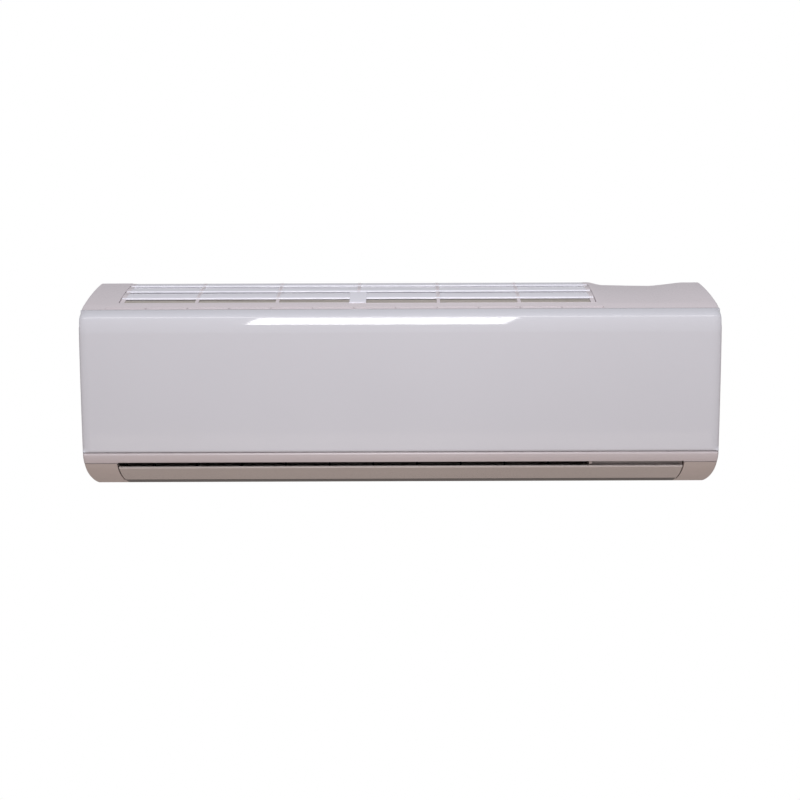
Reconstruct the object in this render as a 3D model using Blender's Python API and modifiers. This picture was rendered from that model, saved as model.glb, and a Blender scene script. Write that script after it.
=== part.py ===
"""Indoor unit of a wall-mounted split air conditioner.

Metres, +Z up. +X is to the right of someone who faces the unit, and +Y points into the wall.
The pieces are drawn with z = 0 at the underside and y = 0 at the wall. The empty named datum
carries them all and lowers them, so that the world origin lies at the centre of the mounting
plate's back.
"""
import math

import bmesh
import bpy
from mathutils import Matrix, Vector

# Overall sizes
WIDTH = 0.790
FAN_TO_FRONT = 0.115      # fan axis to the foremost line of the panel
FAN_TO_WALL = 0.080       # fan axis to the wall
FAN_HEIGHT = 0.115        # fan axis above the underside
FAN_TO_TOP = 0.140        # fan axis to the rear top edge
PLATE_CENTRE = 0.130      # centre of the mounting plate above the underside
DEPTH = FAN_TO_WALL + FAN_TO_FRONT
HEIGHT = FAN_HEIGHT + FAN_TO_TOP
HALF = WIDTH / 2
FRONT = -DEPTH
FAN_Y = -FAN_TO_WALL
FAN_Z = FAN_HEIGHT

# Clearances
SEAT = 0.0003             # between a piece and what it rests on
SEAM = 0.0006             # visible joint between two mouldings
RUN = 0.0003              # radial, between a pin and its hole

# Mouldings
WALL = 0.0025
EDGE_RADIUS = 0.0035
PANEL_STANDOFF = 0.005    # casing front behind the panel's face
PANEL_RETURN = 0.0045     # depth of the panel's side edges
SHELL_SPLIT = 0.0393      # height where the casing meets the lower chassis

# Outer shape, from the front line and the rear top edge
CREASE_BACK = 0.041
CREASE_DROP = 0.019
LIP_BACK = 0.021
LIP_DROP = 0.0242
BEND_BACK = 0.0025        # foot of the tight bend below the lip
BEND_DROP = 0.0335
LEAN_DROP = 0.0404        # the face leans back from here up to the bend
FACE_DROP = 0.052         # and is nearly flat below this
PANEL_BOTTOM = 0.0545
PANEL_BOTTOM_BACK = 0.0125
FLOOR_START = 0.066       # the flat underside runs from here to the wall

# Panel hinge
HINGE_BACK = 0.018
HINGE_DROP = 0.034
GUTTER_RADIUS = 0.0105
HINGE_PIN = 0.0022
HINGE_X = HALF - 0.021

# Air path
SIDE_ROOM = 0.041         # bearing side, duct wall to the end of the unit
DUCT_LEFT = -HALF + SIDE_ROOM
MACHINE_ROOM = 0.159      # partition to the end of the unit, motor and controls
DUCT_RIGHT = HALF - MACHINE_ROOM
POCKET_RIGHT = HALF - SIDE_ROOM
SCROLL_START = 29         # degrees above the rear of the fan
SCROLL_END = -70
SCROLL_RADIUS = 0.057     # at its start
SCROLL_GROWTH = 0.0002    # per degree
LOUVER_FRONT = 0.385      # stations along the lower curve
LOUVER_REAR = 0.85
LOUVER_WALL = 0.003
LOUVER_END_GAP = 0.0015
PIVOT_BACK = 0.080        # louver pivot behind the front line
PIVOT_HEIGHT = 0.024
LOUVER_PIN = 0.003

# Cross-flow fan
FAN_RADIUS = 0.046
FAN_INNER = 0.035
FAN_LEFT = DUCT_LEFT + 0.008
FAN_RIGHT = DUCT_RIGHT - 0.006
BLADES = 24
BLADE_WALL = 0.0013
FAN_RINGS = 4
RING_WALL = 0.002
AXLE = 0.004

# Evaporator
COIL_WALL = 0.024
COIL_LEFT = DUCT_LEFT + 0.012
COIL_RIGHT = DUCT_RIGHT - 0.012
SHEET_WALL = 0.0012
TUBE = 0.0035

# Filters run on an arc about this axis
ARC_Y = FAN_Y - 0.008
ARC_Z = FAN_Z + 0.015
FILTER_RADIUS = 0.0935
FILTER_WALL = 0.0016
FILTER_TOP = 75           # degrees from the wall side
FILTER_LOW = 204
FILTER_STEPS = 16
RAIL_INNER = 0.0902
RAIL_CENTRE = (COIL_LEFT + COIL_RIGHT) / 2 + 0.004

# Intake grille
GRILLE_LEFT = DUCT_LEFT + 0.002
GRILLE_RIGHT = DUCT_RIGHT + 0.009
GRILLE_FRONT = 0.038      # behind the front line
RIB_FIRST = GRILLE_LEFT + 0.097
RIB_PITCH = (GRILLE_RIGHT - 0.096 - RIB_FIRST) / 4
SLAT_PITCH = 0.039

# Motor
MOTOR_RADIUS = 0.038
MOTOR_LONG = 0.044
MOTOR_LEFT = DUCT_RIGHT + 0.010
MOTOR_RIGHT = MOTOR_LEFT + MOTOR_LONG
NECK = 0.014
RUBBER_RADIUS = 0.021

# Vertical vanes
VANES_PER_GROUP = 5
VANE_FIRST = DUCT_LEFT + 0.036
VANE_PITCH = (DUCT_RIGHT - 0.0455 - VANE_FIRST) / (2 * VANES_PER_GROUP - 1)
VANE_WALL = 0.0016
VANE_HEIGHT = 0.034
VANE_ALONG = 0.014        # pivot from the end of the scroll, down the duct floor
LINK_LEVER = 0.005

# Control box
BOX_LEFT = HALF - 0.091
BOX_RIGHT = HALF - 0.011
BOX_FLOOR = 0.072
BOX_ROOF = 0.210
BOX_REAR = -0.062
BOX_FRONT = -0.160

# Mounting plate
PLATE_HALF_X = HALF - 0.095
PLATE_LOW = 0.062
PLATE_HIGH = 0.206
PLATE_WALL = 0.0012
BACK_WALL = -0.008        # rear face of the chassis back wall

for old in list(bpy.data.objects):
    bpy.data.objects.remove(old, do_unlink=True)

PARTS = bpy.data.collections.new("air_conditioner")
CUTTERS = bpy.data.collections.new("cutters")
bpy.context.scene.collection.children.link(PARTS)
bpy.context.scene.collection.children.link(CUTTERS)

DATUM = bpy.data.objects.new("datum", None)
DATUM.location = (0, 0, -PLATE_CENTRE)
PARTS.objects.link(DATUM)
bpy.context.view_layer.update()


# Materials

def material(name, colour, roughness=0.45, metallic=0.0):
    """A Principled material with the part's linear colour."""
    made = bpy.data.materials.new(name)
    made.use_nodes = True
    shader = made.node_tree.nodes["Principled BSDF"]
    shader.inputs["Base Color"].default_value = (*colour, 1.0)
    shader.inputs["Roughness"].default_value = roughness
    shader.inputs["Metallic"].default_value = metallic
    made.diffuse_color = (*colour, 1.0)
    return made


PANEL_WHITE = (0.60, 0.57, 0.61)
CASING_WHITE = (0.56, 0.51, 0.54)
GRILLE_WHITE = (0.62, 0.60, 0.66)
LOUVER_BEIGE = (0.52, 0.47, 0.45)
DARK_GREY = (0.05, 0.05, 0.052)
DUCT_GREY = (0.16, 0.155, 0.15)
FIN_METAL = (0.55, 0.56, 0.58)
STEEL = (0.52, 0.53, 0.55)
COPPER = (0.60, 0.28, 0.16)
BRASS = (0.68, 0.52, 0.24)
RUBBER = (0.03, 0.03, 0.03)
BOARD_GREEN = (0.03, 0.16, 0.07)
FOAM_GREY = (0.30, 0.30, 0.31)


# Outlines in the side plane, each a list of (y, z)

def curve(start, control, end, steps):
    """Points of a quadratic curve, both ends included."""
    points = []
    for step in range(steps + 1):
        t = step / steps
        points.append(curve_at(start, control, end, t))
    return points


def curve_at(start, control, end, t):
    """The point of a quadratic curve at the station t."""
    weights = ((1 - t) ** 2, 2 * t * (1 - t), t ** 2)
    return tuple(sum(w * p[k] for w, p in zip(weights, (start, control, end))) for k in (0, 1))


def arc(centre, radius, first, last, steps):
    """Points of an arc from the angle first to last, in degrees from +Y towards +Z."""
    points = []
    for step in range(steps + 1):
        angle = math.radians(first + (last - first) * step / steps)
        points.append((centre[0] + radius * math.cos(angle), centre[1] + radius * math.sin(angle)))
    return points


def offset(points, distance):
    """The open line moved to its inner side, which is up the wall side for a line that runs
    from the rear top over the front to the underside."""
    normals = []
    for (y0, z0), (y1, z1) in zip(points, points[1:]):
        length = math.hypot(y1 - y0, z1 - z0)
        normals.append((-(z1 - z0) / length, (y1 - y0) / length))
    moved = []
    for index, (y, z) in enumerate(points):
        before = normals[max(index - 1, 0)]
        after = normals[min(index, len(normals) - 1)]
        share = 1 + before[0] * after[0] + before[1] * after[1]
        moved.append((y + distance * (before[0] + after[0]) / share,
                      z + distance * (before[1] + after[1]) / share))
    return moved


def strip(points, thickness):
    """Closed outline of a wall that lies between the line and the line offset inwards."""
    return list(points) + offset(points, thickness)[::-1]


REAR_TOP = (-0.001, HEIGHT)
CREASE = (FRONT + CREASE_BACK, HEIGHT - CREASE_DROP)
TOP_CONTROL = (CREASE[0] * 0.52, HEIGHT - 0.0075)
LIP = (FRONT + LIP_BACK, HEIGHT - LIP_DROP)
BEND_TOP = (FRONT + 0.0044, HEIGHT - 0.02835)
BEND_FOOT = (FRONT + BEND_BACK, HEIGHT - BEND_DROP)
LEAN = (FRONT, HEIGHT - LEAN_DROP)
PANEL_LOW = (FRONT + PANEL_BOTTOM_BACK, PANEL_BOTTOM)
FACE_START = (FRONT, HEIGHT - FACE_DROP)
FACE_CONTROL = (FRONT + 0.002, HEIGHT * 0.55)
FLOOR = (-FLOOR_START, 0.0)
LOW_CONTROL = (FRONT + 0.023, 0.022)
HINGE = (FRONT + HINGE_BACK, HEIGHT - HINGE_DROP)
PIVOT = (FRONT + PIVOT_BACK, PIVOT_HEIGHT)
ARC_CENTRE = (ARC_Y, ARC_Z)
FAN = (FAN_Y, FAN_Z)

TOP_LINE = curve(REAR_TOP, TOP_CONTROL, CREASE, 8)
BROW_LINE = curve(LIP, BEND_TOP, BEND_FOOT, 5) + curve(BEND_FOOT, LEAN, FACE_START, 4)[1:]
FACE_LINE = curve(FACE_START, FACE_CONTROL, PANEL_LOW, 8)


def low_curve(first, last, steps):
    """Stations of the lower front curve, from the panel's foot (0) to the flat floor (1)."""
    points = []
    for step in range(steps + 1):
        t = first + (last - first) * step / steps
        points.append(curve_at(PANEL_LOW, LOW_CONTROL, FLOOR, t))
    return points


def face_at(z):
    """The panel's outer y at a height on its face."""
    for (y0, z0), (y1, z1) in zip(FACE_LINE, FACE_LINE[1:]):
        if z1 <= z <= z0:
            return y0 + (y1 - y0) * (z0 - z) / (z0 - z1)
    return FRONT


def top_at(y):
    """The casing's outer z at a depth behind the crease."""
    for (y0, z0), (y1, z1) in zip(TOP_LINE, TOP_LINE[1:]):
        if y1 <= y <= y0:
            return z0 + (z1 - z0) * (y0 - y) / (y0 - y1)
    return CREASE[1] + (CREASE[0] - y) / (CREASE[0] - LIP[0]) * (LIP[1] - CREASE[1])


def spiral(first, last, steps, extra=0.0):
    """Points of the scroll, whose radius about the fan grows steadily."""
    points = []
    for step in range(steps + 1):
        degrees = first + (last - first) * step / steps
        radius = SCROLL_RADIUS + SCROLL_GROWTH * (SCROLL_START - degrees) + extra
        angle = math.radians(degrees)
        points.append((FAN_Y + radius * math.cos(angle), FAN_Z + radius * math.sin(angle)))
    return points


ENVELOPE = TOP_LINE + BROW_LINE + FACE_LINE[1:] + low_curve(0, 1, 12)[1:] + [(-0.001, 0)]
SCROLL = spiral(SCROLL_START, SCROLL_END, 10)


def filter_arc(radius, before=0.0, after=0.0):
    """The filter's arc at a radius, lengthened at its ends by some degrees."""
    points = arc(ARC_CENTRE, radius, FILTER_TOP, FILTER_LOW, FILTER_STEPS)
    if before:
        points = arc(ARC_CENTRE, radius, FILTER_TOP - before, FILTER_TOP, 1)[:1] + points
    if after:
        points = points + arc(ARC_CENTRE, radius, FILTER_LOW, FILTER_LOW + after, 1)[1:]
    return points


LIP_STATION = 0.885
OUTLET_LIP = offset(low_curve(0, LIP_STATION, 12), WALL * 0.5)[-1]


# Solids

def place(mesh, name):
    """A cutter object under the datum. keep() makes it a part."""
    made = bpy.data.objects.new(name, mesh)
    made.parent = DATUM
    made.hide_render = True
    made.display_type = "WIRE"
    CUTTERS.objects.link(made)
    return made


def keep(made, colour, roughness=0.45, metallic=0.0, sharp=35):
    """Turn a solid into a named part with its own material."""
    CUTTERS.objects.unlink(made)
    PARTS.objects.link(made)
    made.hide_render = False
    made.display_type = "TEXTURED"
    made.data.materials.clear()
    made.data.materials.append(material(made.name, colour, roughness, metallic))
    made.data.shade_smooth()
    made.data.set_sharp_from_angle(angle=math.radians(sharp))
    return made


def extruded(name, outlines, thickness, matrix):
    """A flat outline, with any holes, drawn as a 2D curve and given a thickness."""
    flat = bpy.data.curves.new(name, "CURVE")
    flat.dimensions = "2D"
    flat.fill_mode = "BOTH"
    flat.extrude = thickness / 2
    for outline in outlines:
        spline = flat.splines.new("POLY")
        spline.points.add(len(outline) - 1)
        for point, (across, up) in zip(spline.points, outline):
            point.co = (across, up, 0, 1)
        spline.use_cyclic_u = True
    return from_curve(name, flat, matrix)


def prism(name, outline, low_x, high_x, holes=()):
    """A closed outline of (y, z), extruded along X."""
    turn = Matrix(((0, 0, 1, (low_x + high_x) / 2), (1, 0, 0, 0), (0, 1, 0, 0), (0, 0, 0, 1)))
    return extruded(name, [outline, *holes], high_x - low_x, turn)


def plate(name, outline, low_y, high_y):
    """A closed outline of (x, z), extruded along Y."""
    turn = Matrix(((1, 0, 0, 0), (0, 0, -1, (low_y + high_y) / 2), (0, 1, 0, 0), (0, 0, 0, 1)))
    return extruded(name, [outline], high_y - low_y, turn)


def from_curve(name, shape, matrix):
    """A closed mesh object from a curve, in the drawing's own coordinates."""
    source = bpy.data.objects.new(name + "_curve", shape)
    CUTTERS.objects.link(source)
    graph = bpy.context.evaluated_depsgraph_get()
    mesh = bpy.data.meshes.new_from_object(source.evaluated_get(graph))
    mesh.transform(matrix)
    bpy.data.objects.remove(source, do_unlink=True)
    cage = bmesh.new()
    cage.from_mesh(mesh)
    bmesh.ops.remove_doubles(cage, verts=cage.verts, dist=0.000002)
    bmesh.ops.dissolve_limit(cage, angle_limit=0.001, verts=cage.verts, edges=cage.edges)
    bmesh.ops.recalc_face_normals(cage, faces=cage.faces)
    cage.to_mesh(mesh)
    cage.free()
    mesh.name = name
    return place(mesh, name)


def box(name, low, high):
    """An axis-aligned block between two corners."""
    cage = bmesh.new()
    bmesh.ops.create_cube(cage, size=1.0)
    size = [high[k] - low[k] for k in range(3)]
    centre = [(high[k] + low[k]) / 2 for k in range(3)]
    bmesh.ops.scale(cage, vec=size, verts=cage.verts)
    bmesh.ops.translate(cage, vec=centre, verts=cage.verts)
    mesh = bpy.data.meshes.new(name)
    cage.to_mesh(mesh)
    cage.free()
    return place(mesh, name)


def rod(name, start, end, radius, sides=16, end_radius=None):
    """A cylinder or cone between two points."""
    start = Vector(start)
    end = Vector(end)
    cage = bmesh.new()
    bmesh.ops.create_cone(cage, cap_ends=True, segments=sides, radius1=radius,
                          radius2=radius if end_radius is None else end_radius,
                          depth=(end - start).length)
    turn = (end - start).to_track_quat("Z", "Y").to_matrix().to_4x4()
    mesh = bpy.data.meshes.new(name)
    cage.to_mesh(mesh)
    cage.free()
    mesh.transform(Matrix.Translation((start + end) / 2) @ turn)
    return place(mesh, name)


def along_x(name, centre, radius, low_x, high_x, sides=16):
    """A cylinder along X about a point of the side plane."""
    return rod(name, (low_x, *centre), (high_x, *centre), radius, sides)


def turned(name, profile, centre, steps=24):
    """A profile of (x, radius), turned about the line along X through a point of the side plane."""
    cage = bmesh.new()
    verts = [cage.verts.new((radius, 0, -x)) for x, radius in profile]
    for first, second in zip(verts, verts[1:]):
        cage.edges.new((first, second))
    mesh = bpy.data.meshes.new(name)
    cage.to_mesh(mesh)
    cage.free()
    made = place(mesh, name)
    made.rotation_euler = (0, -math.pi / 2, 0)
    made.location = (0, *centre)
    screw = made.modifiers.new("Turn", "SCREW")
    screw.steps = steps
    screw.render_steps = steps
    screw.use_merge_vertices = True
    screw.merge_threshold = 0.00001
    return made


def tube(name, points, radius, resolution=2, hollow=0.0):
    """A round tube along a smooth line through the points."""
    shape = bpy.data.curves.new(name, "CURVE")
    shape.dimensions = "3D"
    shape.bevel_depth = radius
    shape.bevel_resolution = resolution
    shape.use_fill_caps = hollow == 0
    spline = shape.splines.new("POLY")
    spline.points.add(len(points) - 1)
    for point, place_at in zip(spline.points, points):
        point.co = (*place_at, 1)
    made = from_curve(name, shape, Matrix())
    if hollow:
        skin = made.modifiers.new("Bore", "SOLIDIFY")
        skin.thickness = hollow
        skin.offset = -1
    return made


def boolean(target, tool, operation):
    """Cut, join or keep the common part, with the EXACT solver."""
    step = target.modifiers.new(tool.name, "BOOLEAN")
    step.operation = operation
    step.solver = "EXACT"
    step.object = tool
    return target


def cut(target, *tools):
    """Take each tool away from the target."""
    for tool in tools:
        boolean(target, tool, "DIFFERENCE")
    return target


def join(target, *tools):
    """Weld each tool to the target."""
    for tool in tools:
        boolean(target, tool, "UNION")
    return target


def common(target, tool):
    """Keep what both share."""
    return boolean(target, tool, "INTERSECT")


def set_pivot(made, point):
    """Move a part's origin onto its joint axis."""
    made.data.transform(Matrix.Translation(-Vector(point)))
    made.location = Vector(made.location) + Vector(point)
    return made


def rounded_prism(name, outline, low_x, high_x, radius, segments=3):
    """A prism whose two end outlines are rounded."""
    made = prism(name, outline, low_x, high_x)
    cage = bmesh.new()
    cage.from_mesh(made.data)
    rims = []
    for edge in cage.edges:
        if all(abs(vert.co.x - low_x) < 1e-6 for vert in edge.verts):
            rims.append(edge)
        if all(abs(vert.co.x - high_x) < 1e-6 for vert in edge.verts):
            rims.append(edge)
    bmesh.ops.bevel(cage, geom=rims, offset=radius, offset_type="OFFSET", segments=segments,
                    profile=0.5, affect="EDGES")
    cage.to_mesh(made.data)
    cage.free()
    return made


def merge(name, pieces):
    """Several closed solids that don't touch, as one tool."""
    cage = bmesh.new()
    for piece in pieces:
        cage.from_mesh(piece.data)
        bpy.data.objects.remove(piece, do_unlink=True)
    mesh = bpy.data.meshes.new(name)
    cage.to_mesh(mesh)
    cage.free()
    return place(mesh, name)


# Front casing

def casing_front(depth, top, foot):
    """The casing's front line at a depth behind the panel's face, from the top down."""
    points = [(face_at(top) + depth, top)]
    for y, z in FACE_LINE:
        if foot < z < top:
            points.append((y + depth, z))
    points.append((face_at(foot) + depth, foot))
    return points


SHELF = HEIGHT - 0.0445
BAND_TOP = PANEL_BOTTOM - SEAM
BAND_FOOT = BAND_TOP - WALL
CASING_FOOT = PANEL_BOTTOM + 0.004


def casing_inside(wall):
    """Closed outline of the room inside the casing, which is open to the wall and downwards."""
    roof = [(0.010, HEIGHT - wall)]
    for y, z in TOP_LINE:
        roof.append((y, z - wall))
    gutter_rear = FRONT + 0.035
    roof.append((gutter_rear, top_at(gutter_rear) - 0.0035))
    roof.append((gutter_rear - 0.0015, SHELF + 0.0035))
    front = casing_front(PANEL_STANDOFF + wall, SHELF - 0.003, CASING_FOOT + 0.002)
    ledge = [(front[-1][0], BAND_FOOT)]
    band = [point for point in offset(low_curve(0, 0.5, 16), wall) if point[1] < BAND_FOOT]
    return roof + front + ledge + band + [(0.010, band[-1][1])]


def grille_floor(depth):
    """The line under the intake grille, from the wall side forwards."""
    return [(y, top_at(y) - depth) for y in (GRILLE_END, FAN_Y, GRILLE_START)]


def rail(name, web, flange):
    """A plate that joins the casing's walls to the arc that carries a filter's edge."""
    edge = filter_arc(RAIL_INNER + 0.0008, 5, 3)
    reach = arc(ARC_CENTRE, RAIL_INNER + 0.06, FILTER_LOW + 3, FILTER_TOP - 5, 6)
    made = prism(name, edge + reach, *web)
    common(made, prism(name + "_room", casing_inside(WALL - 0.001), web[0] - 0.01, web[1] + 0.01))
    grille_edge = FRONT + GRILLE_FRONT - 0.0005
    under = [(grille_edge, HEIGHT + 0.01), (0.010, HEIGHT + 0.01), (0.010, HEIGHT - GRILLE_DEPTH)]
    under += grille_floor(GRILLE_DEPTH)
    under.append((grille_edge, top_at(grille_edge) - GRILLE_DEPTH))
    if web[0] > GRILLE_LEFT:
        cut(made, prism(name + "_under_grille", under, web[0] - 0.01, web[1] + 0.01))
    seat = FILTER_RADIUS - FILTER_WALL / 2 - SEAT
    ledge = filter_arc(RAIL_INNER, 4.3, 2.4) + filter_arc(seat, 4.3, 2.4)[::-1]
    return join(made, prism(name + "_ledge", ledge, *flange))


GRILLE_DEPTH = 0.010
WINDOW_LOW = 0.078
WINDOW_HIGH = HEIGHT - 0.054
GROOVE_LEFT = -HALF + 0.030
GROOVE_CELLS = 12
GROOVE_PITCH = (GRILLE_RIGHT + 0.008 - GROOVE_LEFT) / GROOVE_CELLS
GROOVE_RIB = 0.0022
GROOVE_DEEP = 0.0018
FILTER_LEFT = COIL_LEFT - 0.006
FILTER_RIGHT = COIL_RIGHT + 0.006
RAIL_WEB = 0.002
LATCH_X = (-HALF + 0.145, 0.0, HALF - 0.145)
LATCH_Z = PANEL_BOTTOM + 0.0145
LATCH_WIDTH = 0.012
LATCH_HEIGHT = 0.004
LATCH_REACH = 0.0070
SHOWN_Z = PANEL_BOTTOM + 0.0265
DISPLAY_LEFT = HALF - 0.077
DISPLAY_RIGHT = HALF - 0.039
DISPLAY_TALL = 0.011
BUTTON_X = HALF - 0.108
BUTTON_RADIUS = 0.004
LUG_RADIUS = 0.0046
LUG_WALL = 0.004


def front_casing():
    """Top, ends, band and window frame in one thin shell, open to the wall."""
    made = rounded_prism("front_casing", ENVELOPE, -HALF, HALF, EDGE_RADIUS)
    wide = HALF + 0.01
    room = [(FRONT - 0.02, HEIGHT + 0.02), (HINGE[0], HEIGHT + 0.02)]
    room += arc(HINGE, GUTTER_RADIUS, 90, -20, 8)
    room += casing_front(PANEL_STANDOFF, SHELF, CASING_FOOT)
    room += [(face_at(CASING_FOOT) + PANEL_STANDOFF, BAND_TOP), (FRONT - 0.02, BAND_TOP)]
    cut(made, prism("panel_room", room, -wide, wide))
    cut(made, prism("casing_room", casing_inside(WALL), WALL - HALF, HALF - WALL))
    cut(made, box("casing_below", (-wide, FRONT - 0.02, -0.02), (wide, 0.02, SHELL_SPLIT)))
    cut(made, box("intake", (GRILLE_LEFT, FRONT + GRILLE_FRONT, HEIGHT - 0.032),
                  (GRILLE_RIGHT, 0.01, HEIGHT + 0.01)))
    cut(made, box("window", (COIL_LEFT - 0.003, FRONT - 0.01, WINDOW_LOW),
                  (COIL_RIGHT + 0.004, FRONT + 0.022, WINDOW_HIGH)))
    cells = []
    low_y = FRONT + LIP_BACK + 0.0022
    high_y = low_y + 0.0075
    slot = [(low_y, top_at(low_y) + 0.003), (high_y, top_at(high_y) + 0.003),
            (high_y, top_at(high_y) - GROOVE_DEEP), (low_y, top_at(low_y) - GROOVE_DEEP)]
    for index in range(GROOVE_CELLS):
        start = GROOVE_LEFT + index * GROOVE_PITCH
        cells.append(prism("cell", slot, start, start + GROOVE_PITCH - GROOVE_RIB))
    cut(made, merge("groove", cells))
    slots = []
    for x in LATCH_X:
        slots.append(box("slot", (x - LATCH_WIDTH / 2 - 0.0007, FRONT, LATCH_Z - LATCH_HEIGHT / 2 - 0.0012),
                         (x + LATCH_WIDTH / 2 + 0.0007, FRONT + 0.021, LATCH_Z + LATCH_HEIGHT / 2 + 0.0012)))
    slots.append(box("shown", (DISPLAY_LEFT - 0.001, FRONT, SHOWN_Z - DISPLAY_TALL / 2 - 0.001),
                     (DISPLAY_RIGHT + 0.001, FRONT + 0.021, SHOWN_Z + DISPLAY_TALL / 2 + 0.001)))
    slots.append(rod("push", (BUTTON_X, FRONT, SHOWN_Z), (BUTTON_X, FRONT + 0.021, SHOWN_Z),
                     BUTTON_RADIUS + RUN))
    cut(made, merge("front_slots", slots))
    edge = WALL + LUG_WALL
    join(made, rail("rail_left", (FILTER_LEFT - SEAM - RAIL_WEB, FILTER_LEFT - SEAM),
                    (FILTER_LEFT - RAIL_WEB, FILTER_LEFT + 0.006)))
    join(made, rail("rail_centre", (RAIL_CENTRE - 0.003, RAIL_CENTRE + 0.003),
                    (RAIL_CENTRE - 0.009, RAIL_CENTRE + 0.009)))
    join(made, rail("rail_right", (FILTER_RIGHT + SEAM, FILTER_RIGHT + SEAM + RAIL_WEB),
                    (FILTER_RIGHT - 0.006, FILTER_RIGHT + RAIL_WEB)))
    for side in (-1, 1):
        name = "lug_left" if side < 0 else "lug_right"
        ends = sorted((side * (HINGE_X + 2 * SEAT), side * (HINGE_X + 2 * SEAT + LUG_WALL)))
        outline = arc(HINGE, LUG_RADIUS, 90, 270, 8)
        outline += [(HINGE[0] + GUTTER_RADIUS + 0.002, HINGE[1] - LUG_RADIUS),
                    (HINGE[0] + GUTTER_RADIUS + 0.002, HINGE[1] + 0.0003),
                    (HINGE[0] + LUG_RADIUS, HINGE[1] + 0.0003)]
        lug = prism(name, outline, *ends)
        cut(lug, along_x(name + "_bore", HINGE, HINGE_PIN + RUN, ends[0] - edge, ends[1] + edge, 12))
        join(made, lug)
    return keep(made, CASING_WHITE, 0.42)


# Front panel

def front_panel():
    """A crowned shell with a top lip, returned edges, hinge arms with pins, and latches."""
    made = rounded_prism("front_panel", ENVELOPE, -HALF, HALF, EDGE_RADIUS)
    wide = HALF + 0.01
    lip_end = LIP[0] - 2 * SEAM
    block = [(FRONT - 0.02, HEIGHT + 0.02), (lip_end, HEIGHT + 0.02), (lip_end, HINGE[1] + 0.0055),
             (HINGE[0] - 0.005, HINGE[1] - 0.002), (FRONT + PANEL_RETURN - 0.0005, SHELF + 0.0012)]
    block += casing_front(PANEL_RETURN, SHELF - 0.003, PANEL_BOTTOM + 0.0005)
    block += [(face_at(PANEL_BOTTOM + 0.0005) + PANEL_RETURN, PANEL_BOTTOM), (FRONT - 0.02, PANEL_BOTTOM)]
    common(made, prism("panel_block", block, -wide, wide))
    inner = offset(BROW_LINE + FACE_LINE[1:], WALL)
    hollow = [point for point in inner if point[1] > PANEL_BOTTOM + WALL]
    foot_y = face_at(PANEL_BOTTOM + WALL) + WALL
    hollow += [(foot_y, PANEL_BOTTOM + WALL), (FRONT + 0.05, PANEL_BOTTOM + WALL),
               (FRONT + 0.05, hollow[0][1])]
    cut(made, prism("panel_hollow", hollow, WALL - HALF, HALF - WALL))
    wall_in = 0.0015
    for side in (-1, 1):
        name = "arm_left" if side < 0 else "arm_right"
        ends = sorted((side * (HINGE_X - 0.004), side * HINGE_X))
        outline = [(FRONT + wall_in + 0.001, SHELF + 0.002)] + arc(HINGE, 0.0042, -90, 80, 6)
        outline += [(FRONT + wall_in + 0.004, SHELF + 0.0085)]
        arm = prism(name, outline, *ends)
        pins = sorted((side * (HINGE_X - 0.001), side * (HINGE_X + LUG_WALL + 0.002)))
        join(arm, along_x(name + "_pin", HINGE, HINGE_PIN, *pins, 12))
        join(made, arm)
    hooks = []
    for x in LATCH_X:
        start = face_at(LATCH_Z) + wall_in
        hooks.append(box("hook", (x - LATCH_WIDTH / 2, start, LATCH_Z - LATCH_HEIGHT / 2),
                         (x + LATCH_WIDTH / 2, face_at(LATCH_Z) + LATCH_REACH, LATCH_Z + LATCH_HEIGHT / 2)))
    join(made, merge("latches", hooks))
    keep(made, PANEL_WHITE, 0.12)
    return set_pivot(made, (0, *HINGE))


# Intake grille

SLAT_DEEP = 0.031
SLAT_COUNT = 3
SLAT_WALL = 0.0026
SLAT_FIRST = FRONT + GRILLE_FRONT + 0.033
RIB_WALL = 0.003
RIB_RISE = 0.0014
TAB_WIDTH = 0.021
GRILLE_START = FRONT + GRILLE_FRONT + SEAM
GRILLE_END = -0.0013


def slat_outline(nose):
    """A broad slat with a rounded, drooping front edge."""
    rear = nose + SLAT_DEEP
    middle = nose + SLAT_DEEP / 2
    rise = 0.0005
    outline = [(nose, top_at(nose) - 0.0024), (nose + 0.0004, top_at(nose) - 0.0012),
               (nose + 0.0015, top_at(nose) - 0.0002), (nose + 0.004, top_at(nose + 0.004) + rise)]
    outline += [(y, top_at(y) + rise) for y in (middle, rear)]
    outline += [(y, top_at(y) + rise - SLAT_WALL) for y in (rear, middle, nose + 0.004)]
    outline.append((nose + 0.0016, top_at(nose) - 0.0032))
    return outline


def rib_outline():
    """The stepped side view that the grille's ribs and end bars share."""
    line = [(GRILLE_START, top_at(GRILLE_START) - 0.0008)]
    for index in range(SLAT_COUNT):
        nose = SLAT_FIRST + index * SLAT_PITCH
        rear = nose + SLAT_DEEP
        line.append((nose - 0.001, top_at(nose - 0.001) - 0.001))
        line.append((nose + 0.003, top_at(nose + 0.003) + RIB_RISE))
        line.append((rear - 0.001, top_at(rear - 0.001) + RIB_RISE))
        line.append((rear + 0.002, top_at(rear + 0.002) - 0.001))
    line.append((GRILLE_END, top_at(GRILLE_END) - 0.0005))
    return line + grille_floor(GRILLE_DEPTH - SEAT)


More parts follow.
